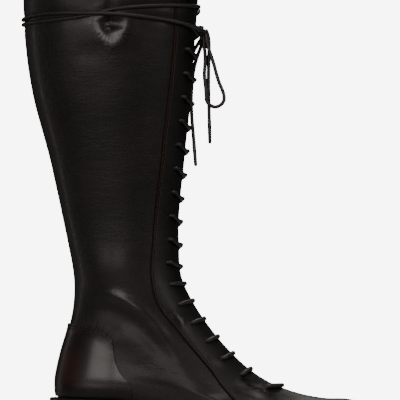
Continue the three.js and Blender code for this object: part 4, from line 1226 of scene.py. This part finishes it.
def stitchTree():
    tree = bpy.data.node_groups.new("stitches", "GeometryNodeTree")
    face = tree.interface
    face.new_socket("Line", in_out="INPUT", socket_type="NodeSocketGeometry")
    for name in ("Spacing", "Length", "Thick", "Rise"):
        face.new_socket(name, in_out="INPUT", socket_type="NodeSocketFloat")
    face.new_socket("Finish", in_out="INPUT", socket_type="NodeSocketMaterial")
    face.new_socket("Stitches", in_out="OUTPUT", socket_type="NodeSocketGeometry")
    wire = Wire(tree, None)
    start = tree.nodes.new("NodeGroupInput")
    given = {socket.name: Wire(tree, socket) for socket in start.outputs if socket.name}
    line = wire.node("GeometryNodeMeshToCurve", None, {"Mesh": given["Line"]}, "Curve")
    even = wire.node("GeometryNodeResampleCurve", {"mode": "LENGTH"},
                     {"Curve": line, "Length": given["Spacing"]}, "Curve")
    outward = wire.node("GeometryNodeInputNamedAttribute", {"data_type": "FLOAT_VECTOR"},
                        {"Name": "outward"}, 0)
    along = wire.node("GeometryNodeInputTangent", None, None, 0)
    turn = wire.node("FunctionNodeAxesToRotation", {"primary_axis": "Z", "secondary_axis": "X"},
                     {"Primary Axis": outward, "Secondary Axis": along}, 0)
    bead = wire.node("GeometryNodeMeshUVSphere", None, {"Segments": 6, "Rings": 4, "Radius": 1.0}, "Mesh")
    size = wire.node("ShaderNodeCombineXYZ", None,
                     {0: given["Length"], 1: given["Thick"], 2: given["Thick"]}, 0)
    lay = wire.node("GeometryNodeTransform", None, {"Geometry": bead, "Scale": size}, 0)
    placed = wire.node("GeometryNodeInstanceOnPoints", None,
                       {"Points": even, "Instance": lay, "Rotation": turn}, 0)
    offset = wire.node("ShaderNodeCombineXYZ", None, {2: given["Rise"]}, 0)
    raised = wire.node("GeometryNodeTranslateInstances", None,
                       {"Instances": placed, "Translation": offset, "Local Space": True}, 0)
    real = wire.node("GeometryNodeRealizeInstances", None, {"Geometry": raised}, 0)
    coloured = wire.node("GeometryNodeSetMaterial", None, {"Geometry": real, "Material": given["Finish"]}, 0)
    end = tree.nodes.new("NodeGroupOutput")
    tree.links.new(coloured.socket, end.inputs[0])
    return tree


stitches = stitchTree()

# Sizes in millimetres
seams = {
    "panelStitches": {"slot": "panel_leather", "Finish": threadFinish, "Spacing": stitch["pitch"],
                      "Length": 0.8, "Thick": 0.3, "Rise": 0.16},
    "throatStitches": {"slot": "panel_leather", "Finish": darkThread, "Spacing": stitch["pitch"],
                       "Length": 0.85, "Thick": 0.22, "Rise": 0.08, "outside": 1.7},
    "counterStitches": {"slot": "counter_leather", "Finish": darkThread, "Spacing": stitch["pitch"],
                        "Length": 0.8, "Thick": 0.3, "Rise": 0.08},
    "weltStitches": {"slot": "welt", "Finish": darkThread, "Spacing": 3.4,
                     "Length": 1.35, "Thick": 0.5, "Rise": 0.1, "depth": 0.45},
}


# One or more rows of stitches, from lists of points with their outward directions
def stitchRows(name, lines):
    seam = seams[name]
    vertices, edges, outward = [], [], []
    for points, normals in lines:
        first = len(vertices)
        vertices += [tuple(p * mm) for p in points]
        outward += [tuple(n) for n in normals]
        edges += [(first + k, first + k + 1) for k in range(len(points) - 1)]
    mesh = bpy.data.meshes.new(name)
    mesh.from_pydata(vertices, edges, [])
    layer = mesh.attributes.new("outward", "FLOAT_VECTOR", "POINT")
    layer.data.foreach_set("vector", np.array(outward, float).ravel())
    obj = place(bpy.data.objects.new(name, mesh))
    modifier = obj.modifiers.new("stitches", "NODES")
    modifier.node_group = stitches
    for item in stitches.interface.items_tree:
        if item.in_out == "INPUT" and item.name in seam:
            value = seam[item.name]
            modifier[item.identifier] = value if item.name == "Finish" else value * mm
    applyModifiers(obj)
    obj.data.shade_smooth()
    return finishPiece(obj, seam["slot"])


def surfaceLine(climb, around, lift):
    points = skin(climb, around, lift)
    normals = skinNormal(climb, around)
    return points + normals * (creaseLift(points) + pressLift(points))[..., None], normals


# Turn from the front at a distance inside an edge, or outside it where the distance is negative
def inward(climb, around, side, distance):
    point = skinPoint(climb, side * around)
    step = 0.01
    ahead = np.linalg.norm(skinPoint(climb, side * (around + step)) - point, axis=-1)
    return around - distance * step / ahead


# Rows just inside the panel's rear edge and along the throat, and round the counter
edgeRows = np.linspace(6, collar - 2, 420)
edgeLines, throatLines = [], []
for side in (1, -1):
    edge = inward(edgeRows, facingAround(edgeRows), side, leather["panel"]["seams"][0])
    edgeLines.append(surfaceLine(edgeRows, side * edge, lifts["panel"]))
    openRows = edgeRows[edgeRows > throatClimb + 20]
    edge = inward(openRows, throatAround(openRows), side, -seams["throatStitches"]["outside"])
    throatLines.append(surfaceLine(openRows, side * edge, lifts["panel"]))
stitchRows("panelStitches", edgeLines)
stitchRows("throatStitches", throatLines)

counterLines = []
for inset in leather["counter"]["seams"]:
    around = counterAround[4:-4]
    climb = np.maximum(counterTop(around) - inset, counter["foot"] + 1)
    counterLines.append(surfaceLine(climb, around, lifts["panel"]))
stitchRows("counterStitches", counterLines)

turn = np.linspace(0, 2 * math.pi, 600)
edge = soleEdge(turn, flange(turn) - sole["weltSeam"])
weltLine = np.column_stack([edge, featherHeight(edge[:, 0]) - boot["gap"] - seams["weltStitches"]["depth"]])
upward = np.tile([0, 0, 1.0], (len(weltLine), 1))
stitchRows("weltStitches", [(weltLine, upward)])
print("stitches ready")

# Finish of the one solid that stays as it is

paint(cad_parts["insole"], insoleFinish)

# Floor, light and world

# The camera sees the sky, everything else is lit by the much darker room
stageLook = {"floor": (0.62, 0.62, 0.62), "middle": 0.09, "radius": 0.55, "room": 0.035, "sky": 7.5,
             "lamps": (1.0, 0.925, 0.885)}

floorMesh = bpy.data.meshes.new("floor")
rim = [(stageLook["middle"] + stageLook["radius"] * math.cos(a), stageLook["radius"] * math.sin(a), 0)
       for a in np.linspace(0, 2 * math.pi, 96, endpoint=False)]
floorMesh.from_pydata(rim, [], [tuple(range(96))])
floor = place(bpy.data.objects.new("floor", floorMesh))
floorMesh.materials.append(newMaterial("floorFinish", {
    "Base Color": colour(*stageLook["floor"]), "Roughness": 0.7, "Specular IOR Level": 0.2})[0])
floor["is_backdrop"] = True

lamps = [
    {"name": "frontSoft", "at": (-0.1, -2.6, 0.92), "size": (1.3, 0.8), "power": 12.5, "aim": (0.04, 0, 0.2)},
    {"name": "heelSoft", "at": (-1.4, -1.9, 0.78), "size": (1.25, 0.7), "power": 9.5, "aim": (0.0, 0, 0.1)},
    {"name": "highSoft", "at": (0.75, -0.7, 2.2), "size": (0.9, 0.9), "power": 12, "aim": (0.08, 0, 0.2)},
    {"name": "backStrip", "at": (-2.2, 0.7, 0.2), "size": (0.14, 1.5), "power": 2.8, "aim": (-0.03, 0, 0.25)},
    {"name": "toeStrip", "at": (1.8, -0.9, 0.9), "size": (0.35, 0.9), "power": 5, "aim": (0.08, 0, 0.2)},
    {"name": "innerSoft", "at": (0.3, 1.5, 2.2), "size": (1.2, 1.0), "power": 15, "aim": (0.05, 0, 0.2)},
]
for lamp in lamps:
    data = bpy.data.lights.new(lamp["name"], "AREA")
    data.shape = "RECTANGLE"
    data.size, data.size_y = lamp["size"]
    data.energy = lamp["power"]
    data.color = stageLook["lamps"]
    light = place(bpy.data.objects.new(lamp["name"], data))
    light.location = lamp["at"]
    aim = Vector(lamp["aim"]) - Vector(lamp["at"])
    light.rotation_euler = aim.to_track_quat("-Z", "Y").to_euler()

world = bpy.data.worlds.new("studio")
bpy.context.scene.world = world
world.use_nodes = True
worldTree = world.node_tree
background = worldTree.nodes["Background"]
seen = Wire(worldTree, None).node("ShaderNodeLightPath", None, None, "Is Camera Ray")
room = seen.blend([stageLook["room"]] * 3, [stageLook["sky"]] * 3)
worldTree.links.new(room.socket, background.inputs["Color"])
print("light ready")

low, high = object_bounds()
print("sizes", [round(float(v) * 1000, 1) for v in low], [round(float(v) * 1000, 1) for v in high])
